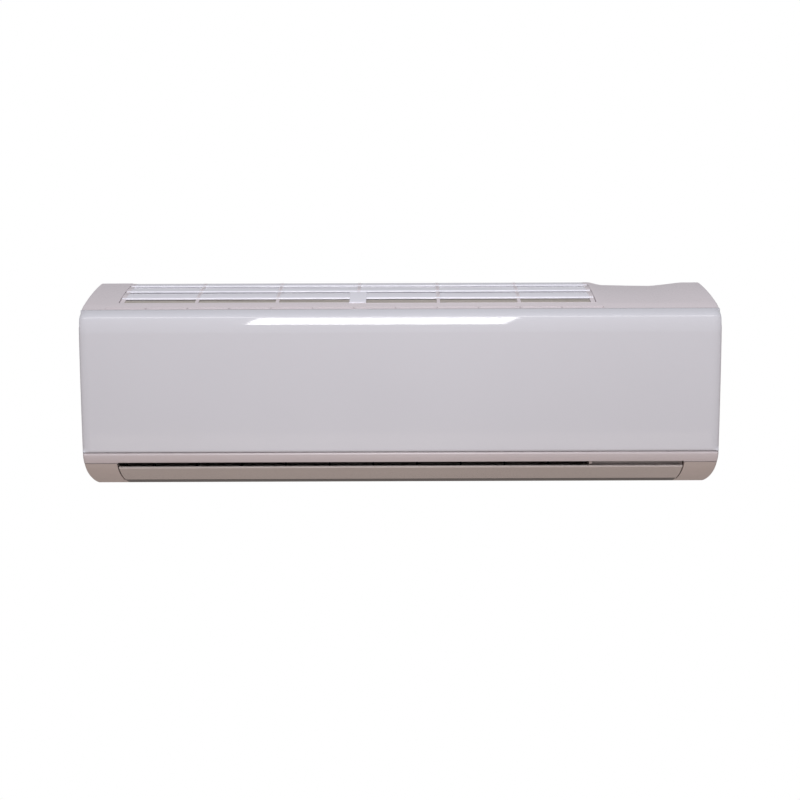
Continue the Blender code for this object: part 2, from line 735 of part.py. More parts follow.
def intake_grille():
    """Three broad slats across stepped ribs, with a frame and a centre tab."""
    left = GRILLE_LEFT + SEAM
    right = GRILLE_RIGHT - SEAM
    end_wall = 0.006
    made = prism("intake_grille", rib_outline(), left, left + end_wall)
    ribs = [prism("rib", rib_outline(), right - end_wall, right)]
    for index in range(5):
        x = RIB_FIRST + index * RIB_PITCH
        ribs.append(prism("rib", rib_outline(), x - RIB_WALL / 2, x + RIB_WALL / 2))
    cross = []
    for index in range(SLAT_COUNT):
        nose = SLAT_FIRST + index * SLAT_PITCH
        cross.append(prism("slat", slat_outline(nose), left + 0.001, right - 0.001))
    bar = [(GRILLE_START, top_at(GRILLE_START) - 0.0006), (GRILLE_START + 0.0025, top_at(GRILLE_START) - 0.0004),
           (GRILLE_START + 0.0025, top_at(GRILLE_START) - 0.0055), (GRILLE_START, top_at(GRILLE_START) - 0.0055)]
    cross.append(prism("front_bar", bar, left + 0.001, right - 0.001))
    cross.append(box("rear_bar", (left + 0.001, -0.0085, HEIGHT - 0.0080),
                     (right - 0.001, GRILLE_END, HEIGHT - 0.0014)))
    join(made, merge("ribs", ribs))
    join(made, merge("slats", cross))
    tab_x = RIB_FIRST + 2 * RIB_PITCH
    stations = (GRILLE_START + 0.0003, SLAT_FIRST, SLAT_FIRST + 0.012, SLAT_FIRST + SLAT_DEEP + 0.004)
    top = [(y, top_at(y) + 0.0010) for y in stations]
    tab = prism("tab", top + [(y, z - 0.0034) for y, z in top[::-1]],
                tab_x - TAB_WIDTH / 2, tab_x + TAB_WIDTH / 2)
    join(made, tab)
    return keep(made, GRILLE_WHITE, 0.25)


# Filters

def filter_screen(name, left, right):
    """A curved frame of bars with an open grid, a thin net and a pull tab."""
    inner = FILTER_RADIUS - FILTER_WALL / 2
    outer = FILTER_RADIUS + FILTER_WALL / 2
    low = inner + (outer - inner) * 0.35
    sheet = filter_arc(low) + filter_arc(low + 0.0005)[::-1]
    made = prism(name, sheet, left + 0.001, right - 0.001)
    full = filter_arc(inner) + filter_arc(outer)[::-1]
    bars = []
    count = 3
    side = 0.007
    pitch = (right - left - side) / count
    for index in range(count + 1):
        start = left + index * pitch
        bars.append(prism("bar", full, start, start + (side if index in (0, count) else 0.0025)))
    join(made, merge(name + "_bars", bars))
    hoops = []
    for angle, spread in ((FILTER_TOP + 0.3, 4.0), (118, 1.6), (161, 1.6), (FILTER_LOW - 4.3, 4.0)):
        hoop = arc(ARC_CENTRE, inner + 0.0001, angle, angle + spread, 1)
        hoop += arc(ARC_CENTRE, outer - 0.0001, angle + spread, angle, 1)
        hoops.append(prism("hoop", hoop, left + 0.001, right - 0.001))
    join(made, merge(name + "_hoops", hoops))
    middle = (left + right) / 2
    pull = arc(ARC_CENTRE, outer - 0.0007, FILTER_LOW - 4, FILTER_LOW - 1, 1)
    pull += arc(ARC_CENTRE, outer + 0.0045, FILTER_LOW - 1, FILTER_LOW - 2, 1)
    join(made, prism(name + "_pull", pull, middle - 0.020, middle + 0.020))
    keep(made, DARK_GREY, 0.6)
    return set_pivot(made, (middle, *ARC_CENTRE))


# Lower chassis

POCKET = [(FRONT + 0.032, 0.044), (PIVOT[0] - 0.031, PIVOT[1] + 0.036), (PIVOT[0] + 0.005, PIVOT[1] + 0.044),
          (PIVOT[0] + 0.035, PIVOT[1] + 0.036), (PIVOT[0] + 0.044, PIVOT[1] + 0.006), OUTLET_LIP]
TROUGH = 0.1445
TROUGH_WALL = 0.0022
CHANNEL_TOP = 0.052
BEARING_RADIUS = 0.012
SPIGOT = (FRONT + 0.029, 0.0765)
SPIGOT_RADIUS = 0.0055
PAN_FLOOR = 0.0725
NOTCH = 0.0335
DUCT_WALL = 0.0025
BACK_HALF = HALF - 0.007
HOOK_X = (-PLATE_HALF_X + 0.100, PLATE_HALF_X - 0.100)
HOOK_WIDTH = 0.024
HOOK_WALL = 0.0015
POSTS = ((BOX_LEFT + 0.018, BOX_FLOOR + 0.024), (BOX_LEFT + 0.062, BOX_ROOF - 0.024))
POST_RADIUS = 0.005
CRADLE_LEFT = (MOTOR_LEFT - 0.0055, MOTOR_LEFT - 0.0005)
CRADLE_RIGHT = (MOTOR_RIGHT + 0.0005, MOTOR_RIGHT + 0.0055)
CRADLE_HALF = 0.0505
TONGUE = (FAN_Y - 0.0465, FAN_Z - 0.020)


def bulkhead_outline(inset):
    """Side view of the walls that close the fan's ends and carry the drain pan."""
    outline = [(BACK_WALL - 0.001, TROUGH), (BACK_WALL - 0.001, CHANNEL_TOP)]
    outline += spiral(-58, SCROLL_END, 2, DUCT_WALL * 0.8)
    outline += [(OUTLET_LIP[0] + 0.002, OUTLET_LIP[1])]
    outline += offset(low_curve(0.36, 0.86, 8), inset)[::-1]
    outline += [(FRONT + 0.0325, SHELL_SPLIT + 0.002), (FRONT + 0.0235, 0.058), (FRONT + 0.0225, 0.0815), (TONGUE[0] - 0.003, TONGUE[1])]
    outline += arc(FAN, SCROLL_RADIUS - 0.002, 196, SCROLL_START + 8, 14)
    return outline


def lower_shell():
    """The curved lower front ends and the floor."""
    made = rounded_prism("rear_chassis", ENVELOPE, -HALF, HALF, EDGE_RADIUS)
    wide = HALF + 0.01
    cut(made, box("chassis_above", (-wide, FRONT - 0.02, SHELL_SPLIT - SEAM), (wide, 0.02, HEIGHT + 0.02)))
    inner = offset(low_curve(0.2, 1, 14) + [(0.01, 0)], WALL)
    cut(made, prism("chassis_room", inner + [(0.01, 0.06), (inner[0][0], 0.06)], WALL - HALF, HALF - WALL))
    station = 0.86
    slot = offset(low_curve(0.2, station, 10), -0.006) + offset(low_curve(0.2, station, 10), 0.008)[::-1]
    return cut(made, prism("outlet", slot, DUCT_LEFT, POCKET_RIGHT))


def cradle(name, ends):
    """A motor cradle plate, open at the top for the rubber ring."""
    outline = [(FAN_Y - CRADLE_HALF, PIVOT[1] + 0.038), (PIVOT[0] + 0.034, PIVOT[1] + 0.036),
               (FAN_Y + CRADLE_HALF, FAN_Z - 0.035), (FAN_Y + CRADLE_HALF, FAN_Z), (FAN_Y - CRADLE_HALF, FAN_Z)]
    made = prism(name, outline, *ends)
    return cut(made, along_x(name + "_seat", FAN, RUBBER_RADIUS, ends[0] - 0.01, ends[1] + 0.01, 20))


def rear_chassis():
    """Lower shell, scroll, bulkheads, back wall, motor cradles and posts in one moulding."""
    made = lower_shell()
    scroll = prism("scroll", strip(SCROLL + [OUTLET_LIP], DUCT_WALL), DUCT_LEFT - 0.001, DUCT_RIGHT + 0.001)
    join(made, scroll)
    left = prism("bulkhead_left", bulkhead_outline(0.001), DUCT_LEFT - DUCT_WALL, DUCT_LEFT)
    cut(left, merge("left_holes", [
        along_x("bearing_hole", FAN, BEARING_RADIUS + SEAT, DUCT_LEFT - 0.01, DUCT_LEFT + 0.01, 20),
        along_x("louver_hole", PIVOT, LOUVER_PIN + RUN, DUCT_LEFT - 0.01, DUCT_LEFT + 0.01, 12),
        along_x("spigot_hole", SPIGOT, SPIGOT_RADIUS + SEAT, DUCT_LEFT - 0.01, DUCT_LEFT + 0.01, 12)]))
    join(made, left)
    right = prism("partition", bulkhead_outline(LOUVER_WALL + 0.0008), DUCT_RIGHT, DUCT_RIGHT + DUCT_WALL)
    cut(right, merge("right_holes", [
        along_x("hub_hole", FAN, NECK + 0.0015, DUCT_RIGHT - 0.01, DUCT_RIGHT + 0.01, 20),
        along_x("louver_notch", PIVOT, NOTCH, DUCT_RIGHT - 0.01, DUCT_RIGHT + 0.01, 32),
        along_x("plug_hole", SPIGOT, SPIGOT_RADIUS + SEAT, DUCT_RIGHT - 0.01, DUCT_RIGHT + 0.01, 12)]))
    join(made, right)
    join(made, prism("pocket", strip(POCKET, DUCT_WALL * 0.9), DUCT_RIGHT + 0.001, POCKET_RIGHT + 0.001))
    cheek = [(POCKET[-2][0] + 0.003, WALL * 0.5), (POCKET[-2][0] + 0.003, POCKET[-2][1]),
             (POCKET[3][0] + 0.001, PIVOT[1] + 0.046), (POCKET[1][0], PIVOT[1] + 0.046),
             (FRONT + 0.0255, 0.048), (FRONT + 0.0325, SHELL_SPLIT + 0.002)]
    cheek += offset(low_curve(0.36, 0.90, 8), 0.001)
    end = prism("end_cheek", cheek, POCKET_RIGHT, POCKET_RIGHT + DUCT_WALL)
    cut(end, along_x("motor_shaft_hole", PIVOT, LOUVER_PIN + RUN, POCKET_RIGHT - 0.01, POCKET_RIGHT + 0.01, 12))
    join(made, end)
    join(made, box("trough", (DUCT_LEFT, SCROLL[0][0] + 0.0010, TROUGH - TROUGH_WALL),
                   (DUCT_RIGHT, BACK_WALL - 0.001, TROUGH)))
    back = box("back_wall", (-BACK_HALF, BACK_WALL - WALL, CHANNEL_TOP - 0.002),
               (BACK_HALF, BACK_WALL, HEIGHT - 0.020))
    slots = []
    for x in HOOK_X:
        slots.append(box("hook_slot", (x - HOOK_WIDTH / 2 - 0.001, BACK_WALL - 0.01, HOOK_LEG + SEAT - 0.0075),
                         (x + HOOK_WIDTH / 2 + 0.001, BACK_WALL + 0.01, HOOK_LEG + SEAT)))
    join(made, cut(back, merge("hook_slots", slots)))
    corners = []
    for side in (-1, 1):
        low = SHELL_SPLIT - 2 * SEAM
        outline = [(side * (BACK_HALF - 0.009), WALL * 0.5), (side * (HALF - WALL * 0.5), WALL * 0.5),
                   (side * (HALF - WALL * 0.5), low), (side * (BACK_HALF - 0.001), low),
                   (side * (BACK_HALF - 0.001), CHANNEL_TOP + 0.004),
                   (side * (BACK_HALF - 0.009), CHANNEL_TOP + 0.004)]
        corners.append(plate("corner", outline, BACK_WALL - WALL + 0.0002, BACK_WALL - 0.0002))
    join(made, merge("corners", corners))
    join(made, cradle("cradle_left", CRADLE_LEFT))
    join(made, cradle("cradle_right", CRADLE_RIGHT))
    posts = []
    for x, z in POSTS:
        posts.append(rod("post", (x, BACK_WALL - 0.001, z), (x, BOX_REAR + SEAT, z), POST_RADIUS, 12))
    join(made, merge("posts", posts))
    holes = [vane_hole(x) for x in VANE_PLACES]
    for y in COVER_SCREW_Y:
        holes.append(rod("pilot", (COVER_SCREW_X, y, FAN_Z - 0.010), (COVER_SCREW_X, y, FAN_Z + 0.01),
                         SCREW_SHANK + RUN, 8))
    for y in HOLDER_SCREW_Y:
        holes.append(along_x("pilot", (y, FAN_Z), SCREW_SHANK + RUN, DUCT_LEFT - 0.01, DUCT_LEFT + 0.01, 8))
    cut(made, merge("chassis_holes", holes))
    return keep(made, CASING_WHITE, 0.5)


# Vertical vanes on the duct floor

FLOOR_RUN = Vector(OUTLET_LIP) - Vector(SCROLL[-1])
DOWN_DUCT = FLOOR_RUN.normalized()
OFF_FLOOR = Vector((DOWN_DUCT[1], -DOWN_DUCT[0]))
VANE_PLACES = [VANE_FIRST + index * VANE_PITCH for index in range(2 * VANES_PER_GROUP)]
VANE_PIN = 0.0018
LINK_PIN = 0.0013
LINK_WALL = 0.0024


def duct_point(along, up):
    """A point of the side plane, down the duct floor from the vane pivots and off the floor."""
    point = Vector(SCROLL[-1]) + DOWN_DUCT * (VANE_ALONG + along) + OFF_FLOOR * up
    return (point[0], point[1])


def vane_hole(x):
    """The hole in the duct floor that a vane's pin turns in."""
    return rod("vane_hole", (x, *duct_point(0, 0.004)), (x, *duct_point(0, -0.006)), VANE_PIN + RUN, 8)


def vane(number):
    """A fin-shaped blade with a pin in the duct floor and a pin for the link bar."""
    x = VANE_PLACES[number - 1]
    shape = ((-0.016, 0.0015), (0.019, 0.0015), (0.0155, 0.010), (0.009, VANE_HEIGHT),
             (-0.003, VANE_HEIGHT), (-0.012, 0.022), (-0.016, 0.012))
    made = prism(f"vane_{number:02d}", [duct_point(*point) for point in shape],
                 x - VANE_WALL / 2, x + VANE_WALL / 2)
    foot = rod("foot", (x, *duct_point(0, -0.002)), (x, *duct_point(0, 0.006)), VANE_PIN, 8)
    tip = rod("tip", (x, *duct_point(LINK_LEVER, VANE_HEIGHT - 0.005)),
              (x, *duct_point(LINK_LEVER, VANE_HEIGHT + 0.0042)), LINK_PIN, 8)
    join(made, merge(f"vane_{number:02d}_pins", [foot, tip]))
    keep(made, DUCT_GREY, 0.5)
    return set_pivot(made, (x, *duct_point(0, 0)))


def link_bar(name, places):
    """The bar that turns one group of vanes together."""
    half = 0.003
    low = VANE_HEIGHT + 0.0004
    corners = [(LINK_LEVER - half, low), (LINK_LEVER + half, low), (LINK_LEVER + half, low + LINK_WALL),
               (LINK_LEVER - half, low + LINK_WALL)]
    made = prism(name, [duct_point(*corner) for corner in corners], places[0] - 0.006, places[-1] + 0.006)
    holes = []
    for x in places:
        holes.append(rod("link_hole", (x, *duct_point(LINK_LEVER, low - 0.002)),
                         (x, *duct_point(LINK_LEVER, low + LINK_WALL + 0.002)), LINK_PIN + RUN, 8))
    cut(made, merge(name + "_holes", holes))
    keep(made, DUCT_GREY, 0.5)
    return set_pivot(made, (places[0], *duct_point(LINK_LEVER, low)))


# Louver

DRIVE_RADIUS = 0.0022
DRIVE_DEPTH = 0.004
ARM_WALL = 0.0055
LOUVER_RIGHT = POCKET_RIGHT - LOUVER_END_GAP
LOUVER_LEFT = DUCT_LEFT + LOUVER_END_GAP


def louver():
    """The long curved flap, with an arm at each end up to its pivot."""
    made = prism("louver", strip(low_curve(LOUVER_FRONT, LOUVER_REAR, 10), LOUVER_WALL),
                 LOUVER_LEFT, LOUVER_RIGHT)
    foot = offset(low_curve(0.50, 0.76, 4), 0.001)
    outline = foot + arc(PIVOT, 0.0055, -30, 150, 6)
    join(made, prism("louver_arm_left", outline, LOUVER_LEFT, LOUVER_LEFT + 0.003))
    right = prism("louver_arm_right", outline, LOUVER_RIGHT - ARM_WALL, LOUVER_RIGHT)
    cut(right, along_x("drive_bore", PIVOT, DRIVE_RADIUS + RUN, LOUVER_RIGHT - DRIVE_DEPTH,
                       LOUVER_RIGHT + 0.01, 12))
    join(made, right)
    join(made, along_x("louver_pin", PIVOT, LOUVER_PIN, DUCT_LEFT - DUCT_WALL - 0.001, LOUVER_LEFT + 0.002, 12))
    rib = offset(low_curve(0.55, 0.80, 4), 0.002)
    spine = rib + offset(low_curve(0.60, 0.74, 3), 0.0065)[::-1]
    join(made, prism("louver_spine", spine, LOUVER_LEFT + 0.012, LOUVER_RIGHT - 0.012))
    keep(made, LOUVER_BEIGE, 0.4)
    return set_pivot(made, (0, *PIVOT))


LOUVER_MOTOR_LEFT = POCKET_RIGHT + DUCT_WALL + SEAT
LOUVER_MOTOR_LONG = 0.019
LOUVER_MOTOR_DROP = 0.008


def louver_motor():
    """A small geared stepper with two ears, beside the end cheek."""
    centre = (PIVOT[0], PIVOT[1] + LOUVER_MOTOR_DROP)
    made = along_x("louver_motor", centre, 0.014, LOUVER_MOTOR_LEFT, LOUVER_MOTOR_LEFT + LOUVER_MOTOR_LONG, 28)
    ears = box("ears", (LOUVER_MOTOR_LEFT, centre[0] - 0.0175, centre[1] - 0.0035),
               (LOUVER_MOTOR_LEFT + 0.001, centre[0] + 0.0175, centre[1] + 0.0035))
    join(made, ears)
    cut(made, along_x("stepper_bore", PIVOT, DRIVE_RADIUS + RUN, LOUVER_MOTOR_LEFT - 0.01,
                      LOUVER_MOTOR_LEFT + DRIVE_DEPTH, 12))
    return keep(made, STEEL, 0.35, 0.9)


def louver_shaft():
    """The stepper's output shaft, which turns with the louver."""
    made = along_x("louver_shaft", PIVOT, DRIVE_RADIUS, LOUVER_RIGHT - DRIVE_DEPTH + SEAT,
                   LOUVER_MOTOR_LEFT + DRIVE_DEPTH - SEAT, 12)
    keep(made, BRASS, 0.3, 0.9)
    return set_pivot(made, (LOUVER_RIGHT, *PIVOT))


# Cross-flow fan

def circle(centre, radius, sides):
    """A closed round outline in the side plane."""
    return arc(centre, radius, 0, 360, sides)[:-1]


def blade_outline(index):
    """A forward-curved blade, radial inside and swept outside."""
    start = 360 * index / BLADES
    middle = (FAN_INNER + FAN_RADIUS) / 2
    line = []
    for radius, sweep in ((FAN_INNER, 3.1), (middle, 8.2), (FAN_RADIUS - 0.0016, 18.7)):
        line += arc(FAN, radius, start + sweep, start + sweep, 1)[:1]
    return strip(line, BLADE_WALL)


def cross_flow_fan():
    """Blades through four rings, with a boss for the axle and a hub for the motor shaft."""
    blades = []
    for index in range(BLADES):
        blades.append(prism("blade", blade_outline(index), FAN_LEFT + 0.001, FAN_RIGHT - 0.001))
    made = merge("cross_flow_fan", blades)
    rings = []
    pitch = (FAN_RIGHT - FAN_LEFT - RING_WALL) / (FAN_RINGS - 1)
    for index in range(FAN_RINGS):
        start = FAN_LEFT + index * pitch
        if index in (0, FAN_RINGS - 1):
            rings.append(prism("ring", circle(FAN, FAN_RADIUS, BLADES), start, start + RING_WALL))
        else:
            rings.append(ring("ring", FAN, FAN_INNER - 0.002, FAN_RADIUS, start, start + RING_WALL, BLADES))
    join(made, merge("rings", rings))
    boss = along_x("boss", FAN, 0.010, FAN_LEFT - 0.006, FAN_LEFT + 0.001, 16)
    hub = along_x("hub", FAN, 0.011, FAN_RIGHT - 0.018, FAN_RIGHT + 0.0048, 16)
    join(made, merge("hubs", [boss, hub]))
    pocket = along_x("axle_pocket", FAN, AXLE + RUN, FAN_LEFT - 0.01, FAN_LEFT - 0.0003, 12)
    bore = along_x("shaft_bore", FAN, AXLE + RUN, FAN_RIGHT - 0.015, FAN_RIGHT + 0.01, 12)
    cut(made, merge("fan_bores", [pocket, bore]))
    keep(made, DARK_GREY, 0.4)
    return set_pivot(made, (0, *FAN))


def ring(name, centre, inner, outer, low_x, high_x, sides=24):
    """A flat ring about X."""
    made = prism(name, circle(centre, outer, sides), low_x, high_x, [circle(centre, inner, sides)])
    return made


def fan_axle():
    """The steel stub that the bearing carries."""
    made = along_x("fan_axle", FAN, AXLE, FAN_LEFT - 0.020, FAN_LEFT - 0.0006, 12)
    keep(made, STEEL, 0.3, 1.0)
    return set_pivot(made, (FAN_LEFT, *FAN))


BEARING_LEFT = DUCT_LEFT - 0.0110
HOLDER_LEFT = DUCT_LEFT - DUCT_WALL - SEAT
HOLDER_HALF = 0.0245
HOLDER_WALL = 0.0025
HOLDER_SCREW_Y = (FAN_Y - HOLDER_HALF + 0.0045, FAN_Y + HOLDER_HALF - 0.0045)
SCREW_SHANK = 0.0015
SCREW_HEAD = 0.003


def fan_bearing():
    """The bearing bush in its rubber seat."""
    made = ring("fan_bearing", FAN, AXLE + RUN, BEARING_RADIUS, BEARING_LEFT, DUCT_LEFT + 0.0003, 20)
    return keep(made, RUBBER, 0.8)


def bearing_holder():
    """The plate that holds the bearing against the bulkhead."""
    outline = [(-HOLDER_HALF, -0.015), (HOLDER_HALF, -0.015), (HOLDER_HALF, 0.015), (-HOLDER_HALF, 0.015)]
    made = prism("bearing_holder", [(FAN_Y + y, FAN_Z + z) for y, z in outline],
                 HOLDER_LEFT - HOLDER_WALL, HOLDER_LEFT, [circle(FAN, BEARING_RADIUS + SEAT, 20)])
    join(made, ring("holder_cup", FAN, BEARING_RADIUS + SEAT, BEARING_RADIUS + 0.0028,
                    BEARING_LEFT - 0.0002, HOLDER_LEFT - 0.001, 20))
    holes = []
    for y in HOLDER_SCREW_Y:
        holes.append(along_x("hole", (y, FAN_Z), SCREW_SHANK + RUN, HOLDER_LEFT - 0.01, HOLDER_LEFT + 0.01, 8))
    cut(made, merge("holder_holes", holes))
    return keep(made, CASING_WHITE, 0.5)


# Fan motor

def fan_motor():
    """A resin-packed motor, turned, with a neck at each end."""
    left = MOTOR_LEFT - 0.006
    right = MOTOR_RIGHT + 0.006
    shoulder = MOTOR_RADIUS - 0.007
    profile = [(left, 0), (left, NECK), (MOTOR_LEFT, NECK), (MOTOR_LEFT, shoulder),
               (MOTOR_LEFT + 0.005, MOTOR_RADIUS), (MOTOR_RIGHT - 0.005, MOTOR_RADIUS),
               (MOTOR_RIGHT, shoulder), (MOTOR_RIGHT, NECK), (right, NECK), (right, 0)]
    made = turned("fan_motor", profile, FAN, 28)
    cut(made, along_x("motor_bore", FAN, AXLE + RUN, left - 0.01, MOTOR_LEFT + 0.004, 12))
    return keep(made, FOAM_GREY, 0.5)


def motor_shaft():
    """The shaft from the motor into the fan's hub."""
    made = along_x("motor_shaft", FAN, AXLE, FAN_RIGHT - 0.015 + SEAT, MOTOR_LEFT + 0.004 - SEAT, 12)
    keep(made, STEEL, 0.3, 1.0)
    return set_pivot(made, (FAN_RIGHT, *FAN))


def motor_rubber(name, ends):
    """A rubber ring between a motor neck and its cradle."""
    made = ring(name, FAN, NECK + SEAT, RUBBER_RADIUS - SEAT, *ends, 20)
    return keep(made, RUBBER, 0.85)


COVER_RADIUS = MOTOR_RADIUS + 0.0055
COVER_WALL = 0.0025
FLANGE_WALL = 0.003
COVER_SCREW_Y = (FAN_Y - CRADLE_HALF + 0.0032, FAN_Y + CRADLE_HALF - 0.0032)
COVER_SCREW_X = (CRADLE_LEFT[0] + CRADLE_LEFT[1]) / 2


def motor_cover():
    """The arched clamp that holds the motor down in its cradles."""
    base = FAN_Z + SEAT
    ends = (CRADLE_LEFT[0], CRADLE_RIGHT[1])
    lift = math.degrees(math.asin(SEAT / COVER_RADIUS))
    outline = arc(FAN, COVER_RADIUS, lift, 180 - lift, 20)
    made = prism("motor_cover", outline, *ends)
    flange = [(FAN_Y - CRADLE_HALF, base), (FAN_Y + CRADLE_HALF, base),
              (FAN_Y + CRADLE_HALF, base + FLANGE_WALL), (FAN_Y - CRADLE_HALF, base + FLANGE_WALL)]
    join(made, prism("flange", flange, *ends))
    cut(made, along_x("cover_room", FAN, COVER_RADIUS - COVER_WALL, CRADLE_LEFT[1], CRADLE_RIGHT[0], 32))
    cut(made, along_x("cover_seats", FAN, RUBBER_RADIUS, ends[0] - 0.01, ends[1] + 0.01, 20))
    holes = []
    for y in COVER_SCREW_Y:
        holes.append(rod("hole", (COVER_SCREW_X, y, FAN_Z - 0.01), (COVER_SCREW_X, y, base + 0.01),
                         SCREW_SHANK + RUN, 8))
    cut(made, merge("cover_holes", holes))
    return keep(made, CASING_WHITE, 0.5)


def screw(name, seat, way, length):
    """A pan-head screw whose head lies 0.3 mm off the surface it holds."""
    seat = Vector(seat)
    way = Vector(way)
    head_low = seat + way * SEAT
    made = rod(name, seat - way * length, seat + way * (SEAT + 0.0008), SCREW_SHANK, 8)
    join(made, rod(name + "_head", head_low, head_low + way * 0.0018, SCREW_HEAD, 12, SCREW_HEAD * 0.72))
    return keep(made, STEEL, 0.3, 1.0)


# Evaporator

COIL_LINE = [(FAN_Y - 0.070, FAN_Z - 0.035), (FAN_Y - 0.072, FAN_Z + 0.034),
             (FAN_Y - 0.007, FAN_Z + 0.1035), (FAN_Y + 0.0555, FAN_Z + 0.0455)]
COIL_NAMES = ("evaporator_front_lower", "evaporator_front_upper", "evaporator_rear")
FIN_TRIM = ((0.001, 0.0062), (0.011, 0.021), (0.021, 0.001))
SHEET_LIMIT = 0.0888
BEND_PITCH = 0.021
BEND_STARTS = (0.008, 0.020, 0.026)
BEND_COUNT = 2
ROW = 0.006


def coil_point(block, along, across):
    """A point of the side plane on a block, along its line and out from its middle."""
    start = Vector(COIL_LINE[block])
    run = (Vector(COIL_LINE[block + 1]) - start).normalized()
    out = Vector((-run[1], run[0]))
    point = start + run * along + out * across
    return (point[0], point[1])


def sheet_outline(block):
    """The end sheet of a block, mitred to its neighbours, with a foot where it stands."""
    half = COIL_WALL / 2
    outer = offset(COIL_LINE, half)
    inner = offset(COIL_LINE, -half)
    run = (Vector(COIL_LINE[block + 1]) - Vector(COIL_LINE[block])).normalized()
    slip = run * (SEAT / 2 if block else 0)
    slip_end = run * (SEAT / 2 if block < 2 else 0)
    low = [tuple(Vector(inner[block]) + slip), tuple(Vector(outer[block]) + slip)]
    high = [tuple(Vector(outer[block + 1]) - slip_end), tuple(Vector(inner[block + 1]) - slip_end)]
    if block == 0:
        floor = PAN_FLOOR + SEAT
        low = [low[0], (low[0][0] - 0.006, floor), (low[1][0] + 0.003, floor), low[1]]
    if block == 2:
        floor = TROUGH + SEAT
        high = [high[0], (high[0][0] - 0.002, floor), (high[1][0] + 0.003, floor), high[1]]
    return low + high


def u_bend(block, along, side):
    """A return bend on one end of a block."""
    x = COIL_LEFT if side < 0 else COIL_RIGHT
    reach = 0.004
    radius = BEND_PITCH / 2
    points = [(x - side * 0.0005, *coil_point(block, along, ROW))]
    for step in range(5):
        angle = math.pi * step / 4
        points.append((x + side * (reach + radius * math.sin(angle)),
                       *coil_point(block, along + radius * (1 - math.cos(angle)), ROW)))
    points.append((x - side * 0.0005, *coil_point(block, along + BEND_PITCH, ROW)))
    return tube("bend", points, TUBE, 1)


def evaporator(block):
    """A finned block with its two end sheets and return bends."""
    name = COIL_NAMES[block]
    length = (Vector(COIL_LINE[block + 1]) - Vector(COIL_LINE[block])).length
    start, end = FIN_TRIM[block]
    half = COIL_WALL / 2 - 0.0008
    fins = [coil_point(block, start, -half), coil_point(block, start, half),
            coil_point(block, length - end, half), coil_point(block, length - end, -half)]
    made = prism(name, fins, COIL_LEFT - SHEET_WALL / 2, COIL_RIGHT + SHEET_WALL / 2)
    sheets = []
    for low_x in (COIL_LEFT - SHEET_WALL, COIL_RIGHT):
        sheets.append(prism("sheet", sheet_outline(block), low_x, low_x + SHEET_WALL))
    both = merge(name + "_sheets", sheets)
    common(both, along_x(name + "_limit", ARC_CENTRE, SHEET_LIMIT, COIL_LEFT - 0.02, COIL_RIGHT + 0.02, 48))
    join(made, both)
    bends = []
    for side in (-1, 1):
        for index in range(BEND_COUNT):
            bends.append(u_bend(block, BEND_STARTS[block] + index * (BEND_PITCH + 0.0105), side))
    join(made, merge(name + "_bends", bends))
    return keep(made, FIN_METAL, 0.35, 0.8)


# Drain

PAN_TOP = 0.0815
PAN_END_WALL = 0.006
DRAIN_BORE = 0.0036


def drain_pan():
    """The water tray under the coil, with the fan's tongue and a spigot."""
    front_in = FRONT + 0.0225
    duct_side = [TONGUE, (TONGUE[0] - 0.0025, FAN_Z - 0.035), (TONGUE[0] - 0.0085, FAN_Z - 0.0485),
                 (TONGUE[0] - 0.0205, FAN_Z - 0.062), (FRONT + 0.0325, 0.0425)]
    front = [(FRONT + 0.028, 0.0425), (FRONT + 0.0200, 0.0565), (FRONT + 0.0200, PAN_TOP)]
    rear_rim = [(TONGUE[0] - 0.0080, PAN_TOP), (TONGUE[0] - 0.0025, TONGUE[1])]
    made = prism("drain_pan", duct_side + front + rear_rim, DUCT_LEFT + SEAT, DUCT_RIGHT - SEAT)
    tray = [(front_in, 0.10), (front_in, PAN_FLOOR), (TONGUE[0] - 0.0100, PAN_FLOOR),
            (TONGUE[0] - 0.0080, FAN_Z - 0.035), (TONGUE[0] - 0.0050, 0.10)]
    cut(made, prism("tray", tray, DUCT_LEFT + PAN_END_WALL, DUCT_RIGHT - PAN_END_WALL))
    join(made, along_x("spigot", SPIGOT, SPIGOT_RADIUS, DUCT_LEFT - 0.0115, DUCT_LEFT + 0.003, 12))
    ends = [along_x("drain_bore", SPIGOT, DRAIN_BORE, DUCT_LEFT - 0.02, DUCT_LEFT + 0.010, 10),
            along_x("plug_bore", SPIGOT, DRAIN_BORE, DUCT_RIGHT - 0.010, DUCT_RIGHT + 0.010, 10)]
    cut(made, merge("drain_bores", ends))
    return keep(made, FOAM_GREY, 0.7)


def drain_plug():
    """The rubber plug in the drain opening that isn't used."""
    made = along_x("drain_plug", SPIGOT, DRAIN_BORE - SEAT, DUCT_RIGHT - PAN_END_WALL + 0.001,
                   DUCT_RIGHT + DUCT_WALL + 0.0013, 10)
    join(made, along_x("plug_head", SPIGOT, 0.0078, DUCT_RIGHT + DUCT_WALL + SEAT,
                       DUCT_RIGHT + DUCT_WALL + 0.0028, 14))
    return keep(made, RUBBER, 0.85)


def rounded(points, radius, steps=4):
    """The line through the points with its corners rounded."""
    corners = [Vector(point) for point in points]
    line = [corners[0]]
    for before, here, after in zip(corners, corners[1:], corners[2:]):
        into = (here - before).normalized()
        out = (after - here).normalized()
        near = here - into * radius
        far = here + out * radius
        for step in range(steps + 1):
            t = step / steps
            line.append(near * (1 - t) ** 2 + here * 2 * t * (1 - t) + far * t ** 2)
    line.append(corners[-1])
    return line


HOSE_WALL = 0.0018
HOSE_X = DUCT_LEFT - 0.0225


